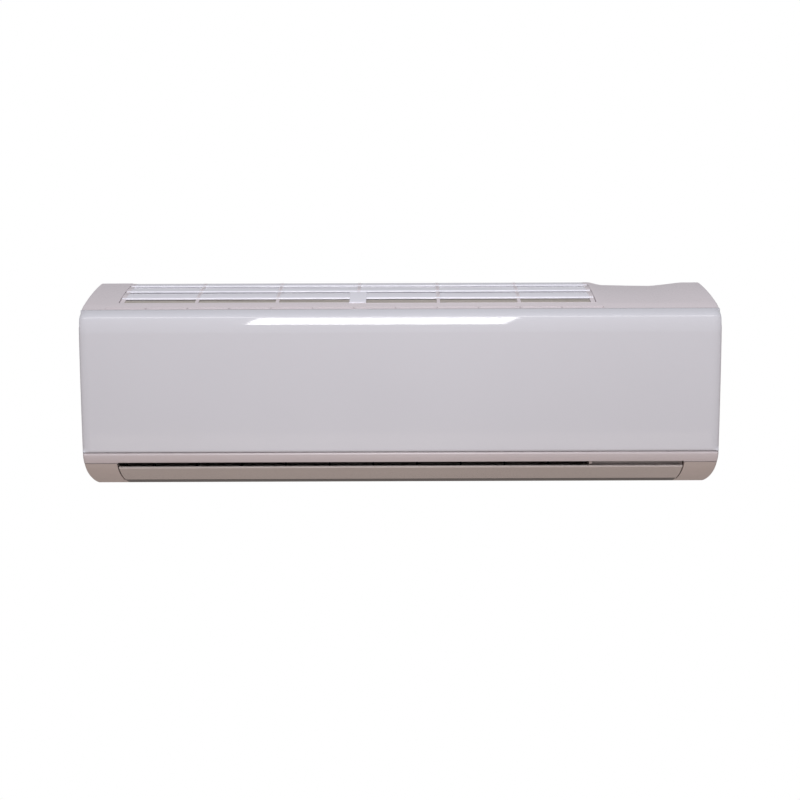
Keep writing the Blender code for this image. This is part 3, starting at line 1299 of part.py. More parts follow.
def drain_hose():
    """The hose from the spigot round the bearing side into the rear channel."""
    radius = SPIGOT_RADIUS + 2 * SEAT + HOSE_WALL
    route = [(DUCT_LEFT - DUCT_WALL - 0.001, *SPIGOT), (HOSE_X, *SPIGOT),
             (HOSE_X, PIVOT[0] - 0.002, SPIGOT[1] - 0.004), (HOSE_X, -0.028, 0.020),
             (DUCT_LEFT + 0.034, -0.028, 0.016)]
    made = tube("drain_hose", rounded(route, 0.010, 3), radius, 2, HOSE_WALL)
    return keep(made, FOAM_GREY, 0.6)


# Refrigerant pipes

GAS_RADIUS = 0.0048
LIQUID_RADIUS = 0.0032
GAS_DEPTH = -0.0235
GAS_LOW = 0.036
LIQUID_DEPTH = GAS_DEPTH + GAS_RADIUS - LIQUID_RADIUS
LIQUID_LOW = 0.0185
GAS_DROP = DUCT_RIGHT + 0.022
LIQUID_DROP = GAS_DROP + 0.018
LIQUID_END = DUCT_RIGHT - 0.109
GAS_END = LIQUID_END - 0.032
PIPE_START = COIL_RIGHT + SHEET_WALL + SEAT


def refrigerant_pipe(name, start, drop_x, depth, low, end_x, radius):
    """A copper pipe from the coil down behind the motor and along the rear channel."""
    route = [(PIPE_START, *start), (drop_x, *start), (drop_x, depth, start[1] - 0.034),
             (drop_x, depth, low), (end_x, depth, low)]
    made = tube(name, rounded(route, 0.012, 4), radius, 2)
    return keep(made, COPPER, 0.3, 1.0)


def flare_nut(name, centre, left, width, bore):
    """A hexagon nut on the end of a pipe."""
    outline = arc(centre, width, 0, 360, 6)[:-1]
    made = prism(name, outline, left, left + 0.020, [circle(centre, bore + 2 * RUN, 12)])
    return keep(made, BRASS, 0.3, 1.0)


CLAMP_X = (DUCT_RIGHT - 0.076, DUCT_RIGHT - 0.051)
CLAMP_FRONT = GAS_DEPTH + GAS_RADIUS + SEAT
CLAMP_WALL = 0.002
CLAMP_SCREW_Z = CHANNEL_TOP + 0.009


def pipe_clamp():
    """The plate that keeps the pipes in the channel."""
    wall_face = BACK_WALL - WALL - SEAT - CLAMP_WALL
    line = [(wall_face, CHANNEL_TOP + 0.015), (wall_face, CHANNEL_TOP + 0.001),
            (CLAMP_FRONT, CHANNEL_TOP - 0.004), (CLAMP_FRONT, WALL + SEAT)]
    made = prism("pipe_clamp", strip(line, CLAMP_WALL), *CLAMP_X)
    middle = (CLAMP_X[0] + CLAMP_X[1]) / 2
    cut(made, rod("clamp_hole", (middle, wall_face - 0.01, CLAMP_SCREW_Z), (middle, 0, CLAMP_SCREW_Z),
                  SCREW_SHANK + RUN, 8))
    return keep(made, CASING_WHITE, 0.5)


# Control box

BOX_WALL = 0.002
LID_WALL = 0.0016
BOARD_REAR = BOX_REAR - BOX_WALL - 0.004
BOARD_WALL = 0.0016
BOARD_FACE = BOARD_REAR - BOARD_WALL
LID_SCREWS = ((0.5 * (BOX_LEFT + BOX_RIGHT), BOX_FLOOR + 0.004), (0.5 * (BOX_LEFT + BOX_RIGHT), BOX_ROOF - 0.004))


def control_box():
    """An open tray on the chassis posts, with board stand-offs and lid bosses."""
    made = box("control_box", (BOX_LEFT, BOX_FRONT, BOX_FLOOR), (BOX_RIGHT, BOX_REAR, BOX_ROOF))
    cut(made, box("box_room", (BOX_LEFT + BOX_WALL, BOX_FRONT - 0.01, BOX_FLOOR + BOX_WALL),
                  (BOX_RIGHT - BOX_WALL, BOX_REAR - BOX_WALL, BOX_ROOF - BOX_WALL)))
    lands = []
    for x in (BOX_LEFT + 0.014, BOX_RIGHT - 0.014):
        for z in (BOX_FLOOR + 0.018, BOX_ROOF - 0.018):
            lands.append(rod("land", (x, BOX_REAR - 0.001, z), (x, BOARD_REAR + SEAT, z), 0.0028, 8))
    for x, z in LID_SCREWS:
        lands.append(box("boss", (x - 0.004, BOX_FRONT, z - 0.0035),
                         (x + 0.004, BOX_FRONT + 0.012, z + 0.0035)))
    join(made, merge("box_lands", lands))
    holes = []
    for x, z in LID_SCREWS:
        holes.append(rod("pilot", (x, BOX_FRONT - 0.005, z), (x, BOX_FRONT + 0.010, z), SCREW_SHANK + RUN, 8))
    holes.append(rod("cord_way", (BOX_RIGHT - 0.014, BOX_FRONT + 0.022, BOX_FLOOR - 0.01),
                     (BOX_RIGHT - 0.014, BOX_FRONT + 0.022, BOX_FLOOR + 0.01), 0.006, 12))
    cut(made, merge("box_holes", holes))
    return keep(made, DUCT_GREY, 0.55)


def control_box_lid():
    """The flat lid with a turned rim."""
    made = box("control_box_lid", (BOX_LEFT, BOX_FRONT - SEAT - LID_WALL, BOX_FLOOR),
               (BOX_RIGHT, BOX_FRONT - SEAT, BOX_ROOF))
    rim = box("rim", (BOX_LEFT + BOX_WALL + SEAT, BOX_FRONT - SEAT - 0.0005, BOX_FLOOR + 0.010),
              (BOX_RIGHT - BOX_WALL - SEAT, BOX_FRONT + 0.004, BOX_ROOF - 0.010))
    cut(rim, box("rim_room", (BOX_LEFT + BOX_WALL + 0.002, BOX_FRONT - SEAT - 0.01, BOX_FLOOR + 0.012),
                 (BOX_RIGHT - BOX_WALL - 0.002, BOX_FRONT + 0.01, BOX_ROOF - 0.012)))
    join(made, rim)
    holes = []
    for x, z in LID_SCREWS:
        holes.append(rod("hole", (x, BOX_FRONT - 0.01, z), (x, BOX_FRONT + 0.001, z), SCREW_SHANK + RUN, 8))
    cut(made, merge("lid_holes", holes))
    return keep(made, STEEL, 0.4, 0.9)


def control_board():
    """The main board on its stand-offs."""
    made = box("control_board", (BOX_LEFT + 0.006, BOARD_FACE, BOX_FLOOR + 0.010),
               (BOX_RIGHT - 0.006, BOARD_REAR, BOX_ROOF - 0.010))
    return keep(made, BOARD_GREEN, 0.5)


def transformer():
    """A laminated core with a wound bobbin through it."""
    low = (BOX_LEFT + 0.010, BOARD_FACE - SEAT - 0.024, BOX_ROOF - 0.052)
    made = box("transformer", low, (low[0] + 0.034, BOARD_FACE - SEAT, low[2] + 0.028))
    join(made, box("bobbin", (low[0] + 0.006, low[1] - 0.003, low[2] + 0.004),
                   (low[0] + 0.028, low[1] + 0.010, low[2] + 0.024)))
    return keep(made, DARK_GREY, 0.5)


def capacitor():
    """A round capacitor standing on the board."""
    centre = (BOX_RIGHT - 0.020, BOX_ROOF - 0.036)
    face = BOARD_FACE - SEAT
    made = rod("capacitor", (centre[0], face, centre[1]), (centre[0], face - 0.030, centre[1]), 0.0085, 20)
    return keep(made, DARK_GREY, 0.3)


def terminal_block():
    """A row of screw terminals between barriers."""
    face = BOARD_FACE - SEAT
    low_x = BOX_LEFT + 0.010
    count = 5
    pitch = 0.0115
    made = box("terminal_block", (low_x, face - 0.016, BOX_FLOOR + 0.020),
               (low_x + count * pitch + 0.0015, face, BOX_FLOOR + 0.038))
    cells = []
    for index in range(count):
        start = low_x + 0.0015 + index * pitch
        cells.append(box("cell", (start, face - 0.02, BOX_FLOOR + 0.015),
                         (start + pitch - 0.0015, face - 0.008, BOX_FLOOR + 0.043)))
    cut(made, merge("cells", cells))
    return keep(made, DARK_GREY, 0.5)


def cord_grip():
    """The saddle over the opening where a supply cord enters."""
    x = BOX_RIGHT - 0.014
    y = BOX_FRONT + 0.022
    low = BOX_FLOOR + BOX_WALL + SEAT
    made = box("cord_grip", (x - 0.011, y - 0.012, low), (x + 0.011, y + 0.012, low + 0.006))
    cut(made, rod("grip_bore", (x, y, low - 0.01), (x, y, low + 0.02), 0.0045, 12))
    return keep(made, DARK_GREY, 0.5)


# Display, button and sensor

DISPLAY_REAR = face_at(SHOWN_Z) + 0.0130
DISPLAY_WALL = 0.0016


def display_board():
    """The board behind the casing, with the display block that fills its window."""
    front = DISPLAY_REAR - DISPLAY_WALL
    made = box("display_board", (BUTTON_X - 0.010, front, SHOWN_Z - 0.0075),
               (DISPLAY_RIGHT + 0.012, DISPLAY_REAR, SHOWN_Z + 0.0075))
    join(made, box("display_block", (DISPLAY_LEFT, face_at(SHOWN_Z) + PANEL_STANDOFF - 0.0002,
                                     SHOWN_Z - DISPLAY_TALL / 2),
                   (DISPLAY_RIGHT, front + 0.0005, SHOWN_Z + DISPLAY_TALL / 2)))
    lands = []
    for x in (BUTTON_X + 0.016, DISPLAY_RIGHT + 0.008):
        inner = face_at(SHOWN_Z) + PANEL_STANDOFF + WALL + 2 * SEAT
        lands.append(rod("land", (x, inner, SHOWN_Z), (x, front + 0.0005, SHOWN_Z), 0.002, 8))
    join(made, merge("display_lands", lands))
    return keep(made, BOARD_GREEN, 0.5)


BUTTON_TRAVEL = 0.0015


def emergency_button():
    """The push button under the panel, with a collar behind the casing."""
    wall_in = face_at(SHOWN_Z) + PANEL_STANDOFF + WALL
    made = rod("emergency_button", (BUTTON_X, wall_in - WALL + SEAM, SHOWN_Z),
               (BUTTON_X, wall_in + 0.0022, SHOWN_Z), BUTTON_RADIUS, 16)
    join(made, rod("collar", (BUTTON_X, wall_in + 4 * SEAT, SHOWN_Z),
                   (BUTTON_X, DISPLAY_REAR - DISPLAY_WALL - BUTTON_TRAVEL - SEAT, SHOWN_Z), 0.0055, 16))
    keep(made, CASING_WHITE, 0.4)
    return set_pivot(made, (BUTTON_X, wall_in, SHOWN_Z))


def coil_sensor():
    """The pipe sensor against the rear block's end sheet."""
    y, z = coil_point(2, 0.014, -ROW)
    x = COIL_RIGHT + SHEET_WALL + SEAT
    radius = 0.0026
    way = Vector((0, *coil_point(2, 0.032, -ROW))) - Vector((0, y, z))
    start = Vector((x + radius, y, z))
    made = rod("coil_sensor", start, start + way, radius, 10)
    return keep(made, COPPER, 0.3, 1.0)


# Mounting plate

HOOK_LEG = PLATE_HIGH + 0.0045
EMBOSS_X = (PLATE_HALF_X - 0.180, PLATE_HALF_X - 0.050)
EMBOSS_Z = (0.100, 0.165)


def mounting_plate():
    """A steel sheet with pressed pads, wall-screw holes and two hooks."""
    outline = []
    for corner, (x, z) in enumerate(((PLATE_HALF_X, PLATE_HIGH), (-PLATE_HALF_X, PLATE_HIGH),
                                     (-PLATE_HALF_X, PLATE_LOW), (PLATE_HALF_X, PLATE_LOW))):
        radius = 0.010
        centre = (x - math.copysign(radius, x), z - math.copysign(radius, z - PLATE_CENTRE))
        outline += arc(centre, radius, 90 * corner, 90 * corner + 90, 3)
    holes = []
    for x in (0.030 - PLATE_HALF_X, -0.080, 0.080, PLATE_HALF_X - 0.030):
        for z in (PLATE_LOW + 0.014, PLATE_HIGH - 0.014):
            holes.append(rod("hole", (x, -0.01, z), (x, 0.01, z), 0.003, 8))
    made = plate("mounting_plate", outline, -PLATE_WALL, 0)
    cut(made, merge("wall_holes", holes))
    pads = []
    rooms = []
    pad_face = BACK_WALL + SEAT
    for side in (-1, 1):
        low_x, high_x = sorted((side * EMBOSS_X[0], side * EMBOSS_X[1]))
        pads.append(box("pad", (low_x, pad_face, EMBOSS_Z[0]), (high_x, -PLATE_WALL / 2, EMBOSS_Z[1])))
        rooms.append(box("pad_room", (low_x + PLATE_WALL, pad_face + PLATE_WALL, EMBOSS_Z[0] + PLATE_WALL),
                         (high_x - PLATE_WALL, 0.01, EMBOSS_Z[1] - PLATE_WALL)))
    join(made, merge("pads", pads))
    cut(made, merge("pad_rooms", rooms))
    front = -PLATE_WALL * 0.25
    line = [(front, PLATE_HIGH - 0.006), (front, HOOK_LEG), (BACK_WALL - WALL - 0.004, HOOK_LEG),
            (BACK_WALL - WALL - 0.004, HOOK_LEG + 0.005)]
    hooks = []
    for x in HOOK_X:
        hooks.append(prism("hook", strip(line, HOOK_WALL), x - HOOK_WIDTH / 2, x + HOOK_WIDTH / 2))
    join(made, merge("hooks", hooks))
    return keep(made, STEEL, 0.45, 0.9)


# The unit

rear_chassis()
front_casing()
front_panel()
intake_grille()
filter_screen("filter_left", FILTER_LEFT, RAIL_CENTRE - 0.003 - SEAM)
filter_screen("filter_right", RAIL_CENTRE + 0.003 + SEAM, FILTER_RIGHT)
for piece in range(3):
    evaporator(piece)
drain_pan()
drain_plug()
drain_hose()
cross_flow_fan()
fan_axle()
fan_bearing()
bearing_holder()
fan_motor()
motor_shaft()
motor_rubber("motor_rubber_left", CRADLE_LEFT)
motor_rubber("motor_rubber_right", CRADLE_RIGHT)
motor_cover()
louver()
louver_motor()
louver_shaft()
for piece in range(1, 2 * VANES_PER_GROUP + 1):
    vane(piece)
link_bar("link_bar_left", VANE_PLACES[:VANES_PER_GROUP])
link_bar("link_bar_right", VANE_PLACES[VANES_PER_GROUP:])
refrigerant_pipe("gas_pipe", coil_point(2, 0.069, -ROW), GAS_DROP, GAS_DEPTH, GAS_LOW, GAS_END, GAS_RADIUS)
refrigerant_pipe("liquid_pipe", coil_point(2, 0.044, -ROW), LIQUID_DROP, LIQUID_DEPTH, LIQUID_LOW,
                 LIQUID_END, LIQUID_RADIUS)
flare_nut("gas_nut", (GAS_DEPTH, GAS_LOW), GAS_END - 0.008, 0.0105, GAS_RADIUS)
flare_nut("liquid_nut", (LIQUID_DEPTH, LIQUID_LOW), LIQUID_END - 0.008, 0.0082, LIQUID_RADIUS)
pipe_clamp()
control_box()
control_box_lid()
control_board()
transformer()
capacitor()
terminal_block()
cord_grip()
display_board()
emergency_button()
coil_sensor()
mounting_plate()
for number, y in enumerate(COVER_SCREW_Y, 1):
    screw(f"cover_screw_{number}", (COVER_SCREW_X, y, FAN_Z + SEAT + FLANGE_WALL), (0, 0, 1), 0.009)
for number, (x, z) in enumerate(LID_SCREWS, 1):
    screw(f"lid_screw_{number}", (x, BOX_FRONT - SEAT - LID_WALL, z), (0, -1, 0), 0.008)
for number, y in enumerate(HOLDER_SCREW_Y, 1):
    screw(f"holder_screw_{number}", (HOLDER_LEFT - HOLDER_WALL, y, FAN_Z), (-1, 0, 0), 0.0048)
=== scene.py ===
# %% [markdown]
# # Indoor unit of a wall-mounted split air conditioner
# A long white box hangs on a wall. A glossy panel closes its front, a slatted grille its top, and a
# curved flap the slot in its underside that the cooled air leaves by. The moving pieces and
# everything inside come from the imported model, which sits in metres with its origin at the centre
# of the mounting plate's back. This lesson loads it, dresses it and lights it.

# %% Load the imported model
import math

import bmesh
import bpy
import numpy as np
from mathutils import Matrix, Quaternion, Vector


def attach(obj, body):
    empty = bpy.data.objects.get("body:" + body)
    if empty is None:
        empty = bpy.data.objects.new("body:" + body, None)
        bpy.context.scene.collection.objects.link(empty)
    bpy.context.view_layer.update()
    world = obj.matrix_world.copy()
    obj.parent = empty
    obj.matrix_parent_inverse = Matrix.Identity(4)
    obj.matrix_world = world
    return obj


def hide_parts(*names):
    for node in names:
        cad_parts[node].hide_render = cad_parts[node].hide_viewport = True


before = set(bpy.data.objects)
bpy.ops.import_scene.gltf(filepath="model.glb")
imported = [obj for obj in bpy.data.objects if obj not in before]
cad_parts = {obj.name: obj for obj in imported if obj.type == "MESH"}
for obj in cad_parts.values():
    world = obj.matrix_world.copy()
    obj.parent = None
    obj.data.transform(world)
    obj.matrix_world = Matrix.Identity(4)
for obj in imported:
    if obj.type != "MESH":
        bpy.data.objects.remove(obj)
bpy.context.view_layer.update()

# %% [markdown]
# The camera comes first, because every later choice of light and gloss is judged through it. The
# photograph looks at the unit from about two and a half metres, a little from above, with a
# longish lens. The distance was worked out from how much narrower the underside looks than the
# front, and the pitch from how much of the top shows.

# %% Camera
CAMERA_PLACE = (0.0, -2.690, 0.258)
PITCH, ROLL = 84.0, 0.2  # degrees: 90 would look level

lens = bpy.data.cameras.new("studio_lens")
lens.lens, lens.sensor_width = 91.755, 36.0
lens.shift_x, lens.shift_y = 0.0003, -0.00575
lens.clip_start, lens.clip_end = 0.05, 60.0
camera = bpy.data.objects.new("camera", lens)
camera.location = CAMERA_PLACE
camera.rotation_euler = (math.radians(PITCH), math.radians(ROLL), 0.0)
bpy.context.scene.collection.objects.link(camera)
bpy.context.scene.camera = camera
bpy.context.scene.view_settings.view_transform = "Standard"
print("camera stands", camera.location[:], "lens", lens.lens, "mm")

# %% [markdown]
# Every material below is a small graph of nodes. One function adds a node, sets its values and
# joins its inputs, so a graph reads as a list. A second turns a colour as it is written, in hex,
# into the linear numbers that a shader adds and multiplies. No real surface has one even colour, so
# another lets a colour drift between two tones.

# %% Node and colour helpers
def add(tree, kind, settings=None, links=None):
    """One node: settings are properties in lower case or values of sockets, links join inputs."""
    node = tree.nodes.new(kind)
    for name, value in (settings or {}).items():
        if isinstance(name, str) and hasattr(node, name):
            setattr(node, name, value)
        else:
            node.inputs[name].default_value = value
    for name, source in (links or {}).items():
        tree.links.new(source, node.inputs[name])
    return node


def linear(code):
    """The linear colour of an sRGB hex code: each channel c becomes ((c + 0.055) / 1.055) ** 2.4,
    or c / 12.92 near black."""
    parts = [int(code[i:i + 2], 16) / 255 for i in (0, 2, 4)]
    return (*[c / 12.92 if c <= 0.04045 else ((c + 0.055) / 1.055) ** 2.4 for c in parts], 1.0)


def new_finish(name):
    """An empty graph with one Principled shader on its output."""
    made = bpy.data.materials.new(name)
    made.use_nodes = True
    tree = made.node_tree
    shader = tree.nodes["Principled BSDF"]
    return made, tree, shader


def two_tones(tree, place, scale, detail, darker, shade, low, high):
    """A noise and a colour read from it: darker below low, shade above high, blended between."""
    noise = add(tree, "ShaderNodeTexNoise", {"Scale": scale, "Detail": detail}, {"Vector": place})
    tone = add(tree, "ShaderNodeValToRGB", links={"Fac": noise.outputs["Fac"]})
    first, last = tone.color_ramp.elements
    first.position, first.color = low, linear(darker)
    last.position, last.color = high, linear(shade)
    return noise.outputs["Fac"], tone.outputs["Color"]


print("middle grey 808080 is", round(linear("808080")[0], 3), "in linear numbers")

# %% [markdown]
# The outer mouldings are injection-moulded ABS. The tool's polish decides the gloss: the panel
# comes out like a mirror with a faint long swell, called orange peel, and the casing has a fine
# satin spark texture. Both are slightly uneven in tone where the plastic flowed, which is far too
# weak to see as a pattern but keeps the large faces from looking like paper.

# %% Moulded plastics
FLOW_SCALE = 3.3         # repeats of a noise in a metre: the tone drifts over about 300 mm
SWELL_SCALE = 38.0       # and the waves of a glossy wall are about 26 mm long


def moulded(name, shade, darker, roughness, grain, depth, swell=0.0, coat=0.0, spread=0.04):
    """Moulded ABS. Tone drifts between two shades; a bump of the given grain in millimetres and
    depth in metres gives the tool's texture, and swell the height of the slow waves. The roughness
    varies with the grain by spread to either side."""
    made, tree, shader = new_finish(name)
    place = add(tree, "ShaderNodeTexCoord").outputs["Object"]
    colour = two_tones(tree, place, FLOW_SCALE, 2.0, darker, shade, 0.30, 0.70)[1]
    skin = add(tree, "ShaderNodeTexNoise", {"Scale": 1000.0 / grain, "Detail": 3.0},
               {"Vector": place})
    rough = add(tree, "ShaderNodeMapRange", {"From Min": 0.3, "From Max": 0.7,
                "To Min": roughness - spread, "To Max": roughness + spread},
                {"Value": skin.outputs["Fac"]})
    bump = add(tree, "ShaderNodeBump", {"Strength": 1.0, "Distance": depth},
               {"Height": skin.outputs["Fac"]})
    if swell:
        wave = add(tree, "ShaderNodeTexNoise", {"Scale": SWELL_SCALE, "Detail": 1.0},
                   {"Vector": place})
        bump = add(tree, "ShaderNodeBump", {"Strength": 1.0, "Distance": swell},
                   {"Height": wave.outputs["Fac"], "Normal": bump.outputs["Normal"]})
    shader.inputs["IOR"].default_value = 1.53
    shader.inputs["Coat Weight"].default_value = coat
    shader.inputs["Coat Roughness"].default_value = 0.03
    tree.links.new(colour, shader.inputs["Base Color"])
    tree.links.new(rough.outputs["Result"], shader.inputs["Roughness"])
    tree.links.new(bump.outputs["Normal"], shader.inputs["Normal"])
    return made


# A mirror-polished tool: the lamp shows in it as a sharp white bar.
panel_gloss = moulded("abs_panel_polished", "CBCAD1", "C8C7CE", roughness=0.035, grain=1.6,
                      depth=0.4e-6, swell=4e-6, coat=0.35, spread=0.010)
# Spark-textured tools: a soft, even sheen. Chassis and flap are the casing's plastic, painted warmer
# and darker as shade and warm light from below, the flap darkest.
casing_satin = moulded("abs_casing_satin", "D3CACE", "CEC5C9", roughness=0.30, grain=0.9,
                       depth=12e-6)
body_satin = moulded("abs_body_warm_shade", "CEC2BF", "C8BCB9", roughness=0.33, grain=0.9, depth=12e-6)
flap_satin = moulded("abs_flap_warm_shade", "C6BCB9", "BFB5B2", roughness=0.30, grain=0.9, depth=12e-6)
# Nearly polished, so the slats' round edges shine as lines; their whiter, bluish tone is partly
# painted sheen that lifts the slats' tops.
grille_gloss = moulded("abs_grille_polished", "F0EEF8", "EAE8F2", roughness=0.14, grain=1.4,
                       depth=4e-6, coat=0.4, spread=0.03)
# Unpolished grey and glass-filled dark stock: dull, so the duct and the fan stay in shadow.
duct_matt = moulded("abs_duct_grey", "6E6B6B", "676464", roughness=0.55, grain=1.1, depth=20e-6)
fan_dark = moulded("abs_glass_filled_dark", "3A3A3C", "323234", roughness=0.5, grain=0.8,
                   depth=20e-6)
plastics = (panel_gloss, casing_satin, body_satin, grille_gloss, flap_satin, duct_matt, fan_dark)
print("moulded plastics:", [made.name for made in plastics])

# %% [markdown]
# Inside are metals. Aluminium fins stand about a millimetre and a half apart, which from two metres
# reads as a fine grey line pattern, so the fins are drawn into the colour and the bump of the coil
# blocks, with painted shade in the gaps between them. Copper is drawn tube with a thin brown bloom,
# brass and the screws' bright steel are turned, and the sheet steel of the mounting plate is
# galvanised, with a pale blotchy spangle.

# %% Metals
FIN_GAP_SHADE = "3B3C3F"       # painted shade in the gap between two fins


def metal(name, shade, darker, roughness, patch, fins=0.0):
    """A metal whose tone drifts over patches of the given size in millimetres; fins paints shade
    into the gaps between thin plates that stand along X at that pitch in millimetres."""
    made, tree, shader = new_finish(name)
    place = add(tree, "ShaderNodeTexCoord").outputs["Object"]
    blotch, colour = two_tones(tree, place, 1000.0 / patch, 4.0, darker, shade, 0.35, 0.65)
    bump = add(tree, "ShaderNodeBump", {"Strength": 1.0, "Distance": 0.00001}, {"Height": blotch})
    if fins:
        # A wave texture repeats 20 / (2 pi) times per unit of its scale.
        lines = add(tree, "ShaderNodeTexWave", {"wave_type": "BANDS", "bands_direction": "X",
                    "Scale": 1000.0 / fins * 2 * math.pi / 20}, {"Vector": place})
        edge = add(tree, "ShaderNodeMapRange", {"From Min": 0.15, "From Max": 0.6, "To Min": 0.0,
                   "To Max": 1.0}, {"Value": lines.outputs["Fac"]})
        # The gaps between the fins get painted shade.
        mix = add(tree, "ShaderNodeMix", {"data_type": "RGBA"}, {0: edge.outputs["Result"]})
        mix.inputs[6].default_value = linear(FIN_GAP_SHADE)
        tree.links.new(colour, mix.inputs[7])
        colour = mix.outputs[2]
        bump = add(tree, "ShaderNodeBump", {"Strength": 1.0, "Distance": 0.0003},
                   {"Height": edge.outputs["Result"], "Normal": bump.outputs["Normal"]})
    shader.inputs["Metallic"].default_value = 1.0
    rough = add(tree, "ShaderNodeMapRange", {"From Min": 0.3, "From Max": 0.7,
                "To Min": roughness - 0.05, "To Max": roughness + 0.05}, {"Value": blotch})
    tree.links.new(colour, shader.inputs["Base Color"])
    tree.links.new(rough.outputs["Result"], shader.inputs["Roughness"])
    tree.links.new(bump.outputs["Normal"], shader.inputs["Normal"])
    return made


fin_metal = metal("aluminium_fin_stock", "D6D8DC", "C4C6CA", 0.34, patch=12.0, fins=1.6)
steel_zinc = metal("steel_galvanised_sheet", "C9CCCF", "BFC3C7", 0.38, patch=6.0)
# Turned on a lathe: a clear, narrow shine.
steel_bright = metal("steel_turned_bright", "CFD0D2", "B9BABC", 0.25, patch=3.0)
brass_turned = metal("brass_turned", "D8BE7E", "C2A562", 0.24, patch=4.0)
copper_tube = metal("copper_drawn_tube", "D69A7A", "B97858", 0.30, patch=7.0)
metals = (fin_metal, steel_zinc, steel_bright, copper_tube, brass_turned)
print("metals:", [made.name for made in metals])

# %% [markdown]
# The remaining small pieces are rubber, foam, circuit board and the woven net of the filters. The
# net is a plain weave of 0.25 mm nylon thread. Its holes are too fine to show from here, so it is
# drawn at 1.3 mm, which still reads as a grey net.

# %% Rubber, foam, board and net
NET_PITCH = 0.0013


def soft_matt(name, shade, darker, roughness, grain, depth):
    """A dull piece with an open grain of the given size in millimetres and depth in metres."""
    made, tree, shader = new_finish(name)
    place = add(tree, "ShaderNodeTexCoord").outputs["Object"]
    grains, colour = two_tones(tree, place, 1000.0 / grain, 5.0, darker, shade, 0.35, 0.65)
    bump = add(tree, "ShaderNodeBump", {"Strength": 1.0, "Distance": depth}, {"Height": grains})
    shader.inputs["Roughness"].default_value = roughness
    tree.links.new(colour, shader.inputs["Base Color"])
    tree.links.new(bump.outputs["Normal"], shader.inputs["Normal"])
    return made


rubber = soft_matt("rubber_moulded", "2B2B2C", "1F1F20", 0.75, grain=1.5, depth=30e-6)
foam = soft_matt("foam_sleeve", "8E8C8B", "747271", 0.9, grain=1.2, depth=200e-6)
board = soft_matt("circuit_board_lacquered", "2F6B45", "265A39", 0.35, grain=2.0, depth=20e-6)


def woven_net():
    """Nylon net: two sine waves at right angles, one along X and one down the sheet, make the
    threads, and the darker squares between them are painted shade seen through the holes."""
    made, tree, shader = new_finish("nylon_net_woven")
    place = add(tree, "ShaderNodeTexCoord").outputs["Object"]
    threads = []
    for direction in ("X", "Z"):
        wave = add(tree, "ShaderNodeTexWave", {"wave_type": "BANDS", "bands_direction": direction,
                   "Scale": 2 * math.pi / 20 / NET_PITCH}, {"Vector": place})
        threads.append(wave.outputs["Fac"])
    both = add(tree, "ShaderNodeMath", {"operation": "MAXIMUM"}, {0: threads[0], 1: threads[1]})
    edge = add(tree, "ShaderNodeMapRange", {"From Min": 0.55, "From Max": 0.85},
               {"Value": both.outputs[0]})
    mix = add(tree, "ShaderNodeMix", {"data_type": "RGBA"}, {0: edge.outputs["Result"]})
    # The holes' colour is painted shade from behind the net.
    mix.inputs[6].default_value = linear("746E67")
    mix.inputs[7].default_value = linear("C0B8AF")
    bump = add(tree, "ShaderNodeBump", {"Strength": 1.0, "Distance": 0.0002},
               {"Height": edge.outputs["Result"]})
    shader.inputs["Roughness"].default_value = 0.6
    tree.links.new(mix.outputs[2], shader.inputs["Base Color"])
    tree.links.new(bump.outputs["Normal"], shader.inputs["Normal"])
    return made


net = woven_net()
print("soft finishes:", rubber.name, foam.name, board.name, net.name)

# %% [markdown]
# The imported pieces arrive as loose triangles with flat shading. A Weld modifier closes them, and a
# small node group marks only edges sharper than 32 degrees as sharp, so curved walls shade as one
# sweep while their real corners stay crisp. The vertices themselves never move.

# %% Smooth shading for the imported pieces
CRISP_ANGLE = 32
WELD_REACH = 0.000005


def shade_group():
    """Faces are smooth, and an edge whose two faces meet at over 32 degrees is sharp."""
    group = bpy.data.node_groups.new("crisp_corners", "GeometryNodeTree")
    group.interface.new_socket("Geometry", in_out="INPUT", socket_type="NodeSocketGeometry")
    group.interface.new_socket("Geometry", in_out="OUTPUT", socket_type="NodeSocketGeometry")
    start = add(group, "NodeGroupInput").outputs[0]
    bare = add(group, "GeometryNodeRemoveAttribute", {"Name": "custom_normal"},
               {"Geometry": start})
    angle = add(group, "GeometryNodeInputMeshEdgeAngle")
    sharp = add(group, "FunctionNodeCompare", {"data_type": "FLOAT", "operation": "LESS_THAN",
                "B": math.radians(CRISP_ANGLE)}, {"A": angle.outputs["Unsigned Angle"]})
    faces = add(group, "GeometryNodeSetShadeSmooth", {"domain": "FACE"},
                {"Geometry": bare.outputs[0]})
    edges = add(group, "GeometryNodeSetShadeSmooth", {"domain": "EDGE"},
                {"Geometry": faces.outputs[0], "Shade Smooth": sharp.outputs[0]})
    add(group, "NodeGroupOutput", links={"Geometry": edges.outputs[0]})
    return group


crisp = shade_group()
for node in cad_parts.values():
    weld = node.modifiers.new("close", "WELD")
    weld.merge_threshold = WELD_REACH
    shade = node.modifiers.new("shade", "NODES")
    shade.node_group = crisp
print("smooth shading on", len(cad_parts), "pieces")

# %% [markdown]
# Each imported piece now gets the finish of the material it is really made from. Outer mouldings are
# ABS, the fan and the small electric parts a darker filled plastic, the coil aluminium, the pipes
# copper and the filters net. One table says it, so it can be read and changed at a glance. The
# vanes and the screws are found by their names.

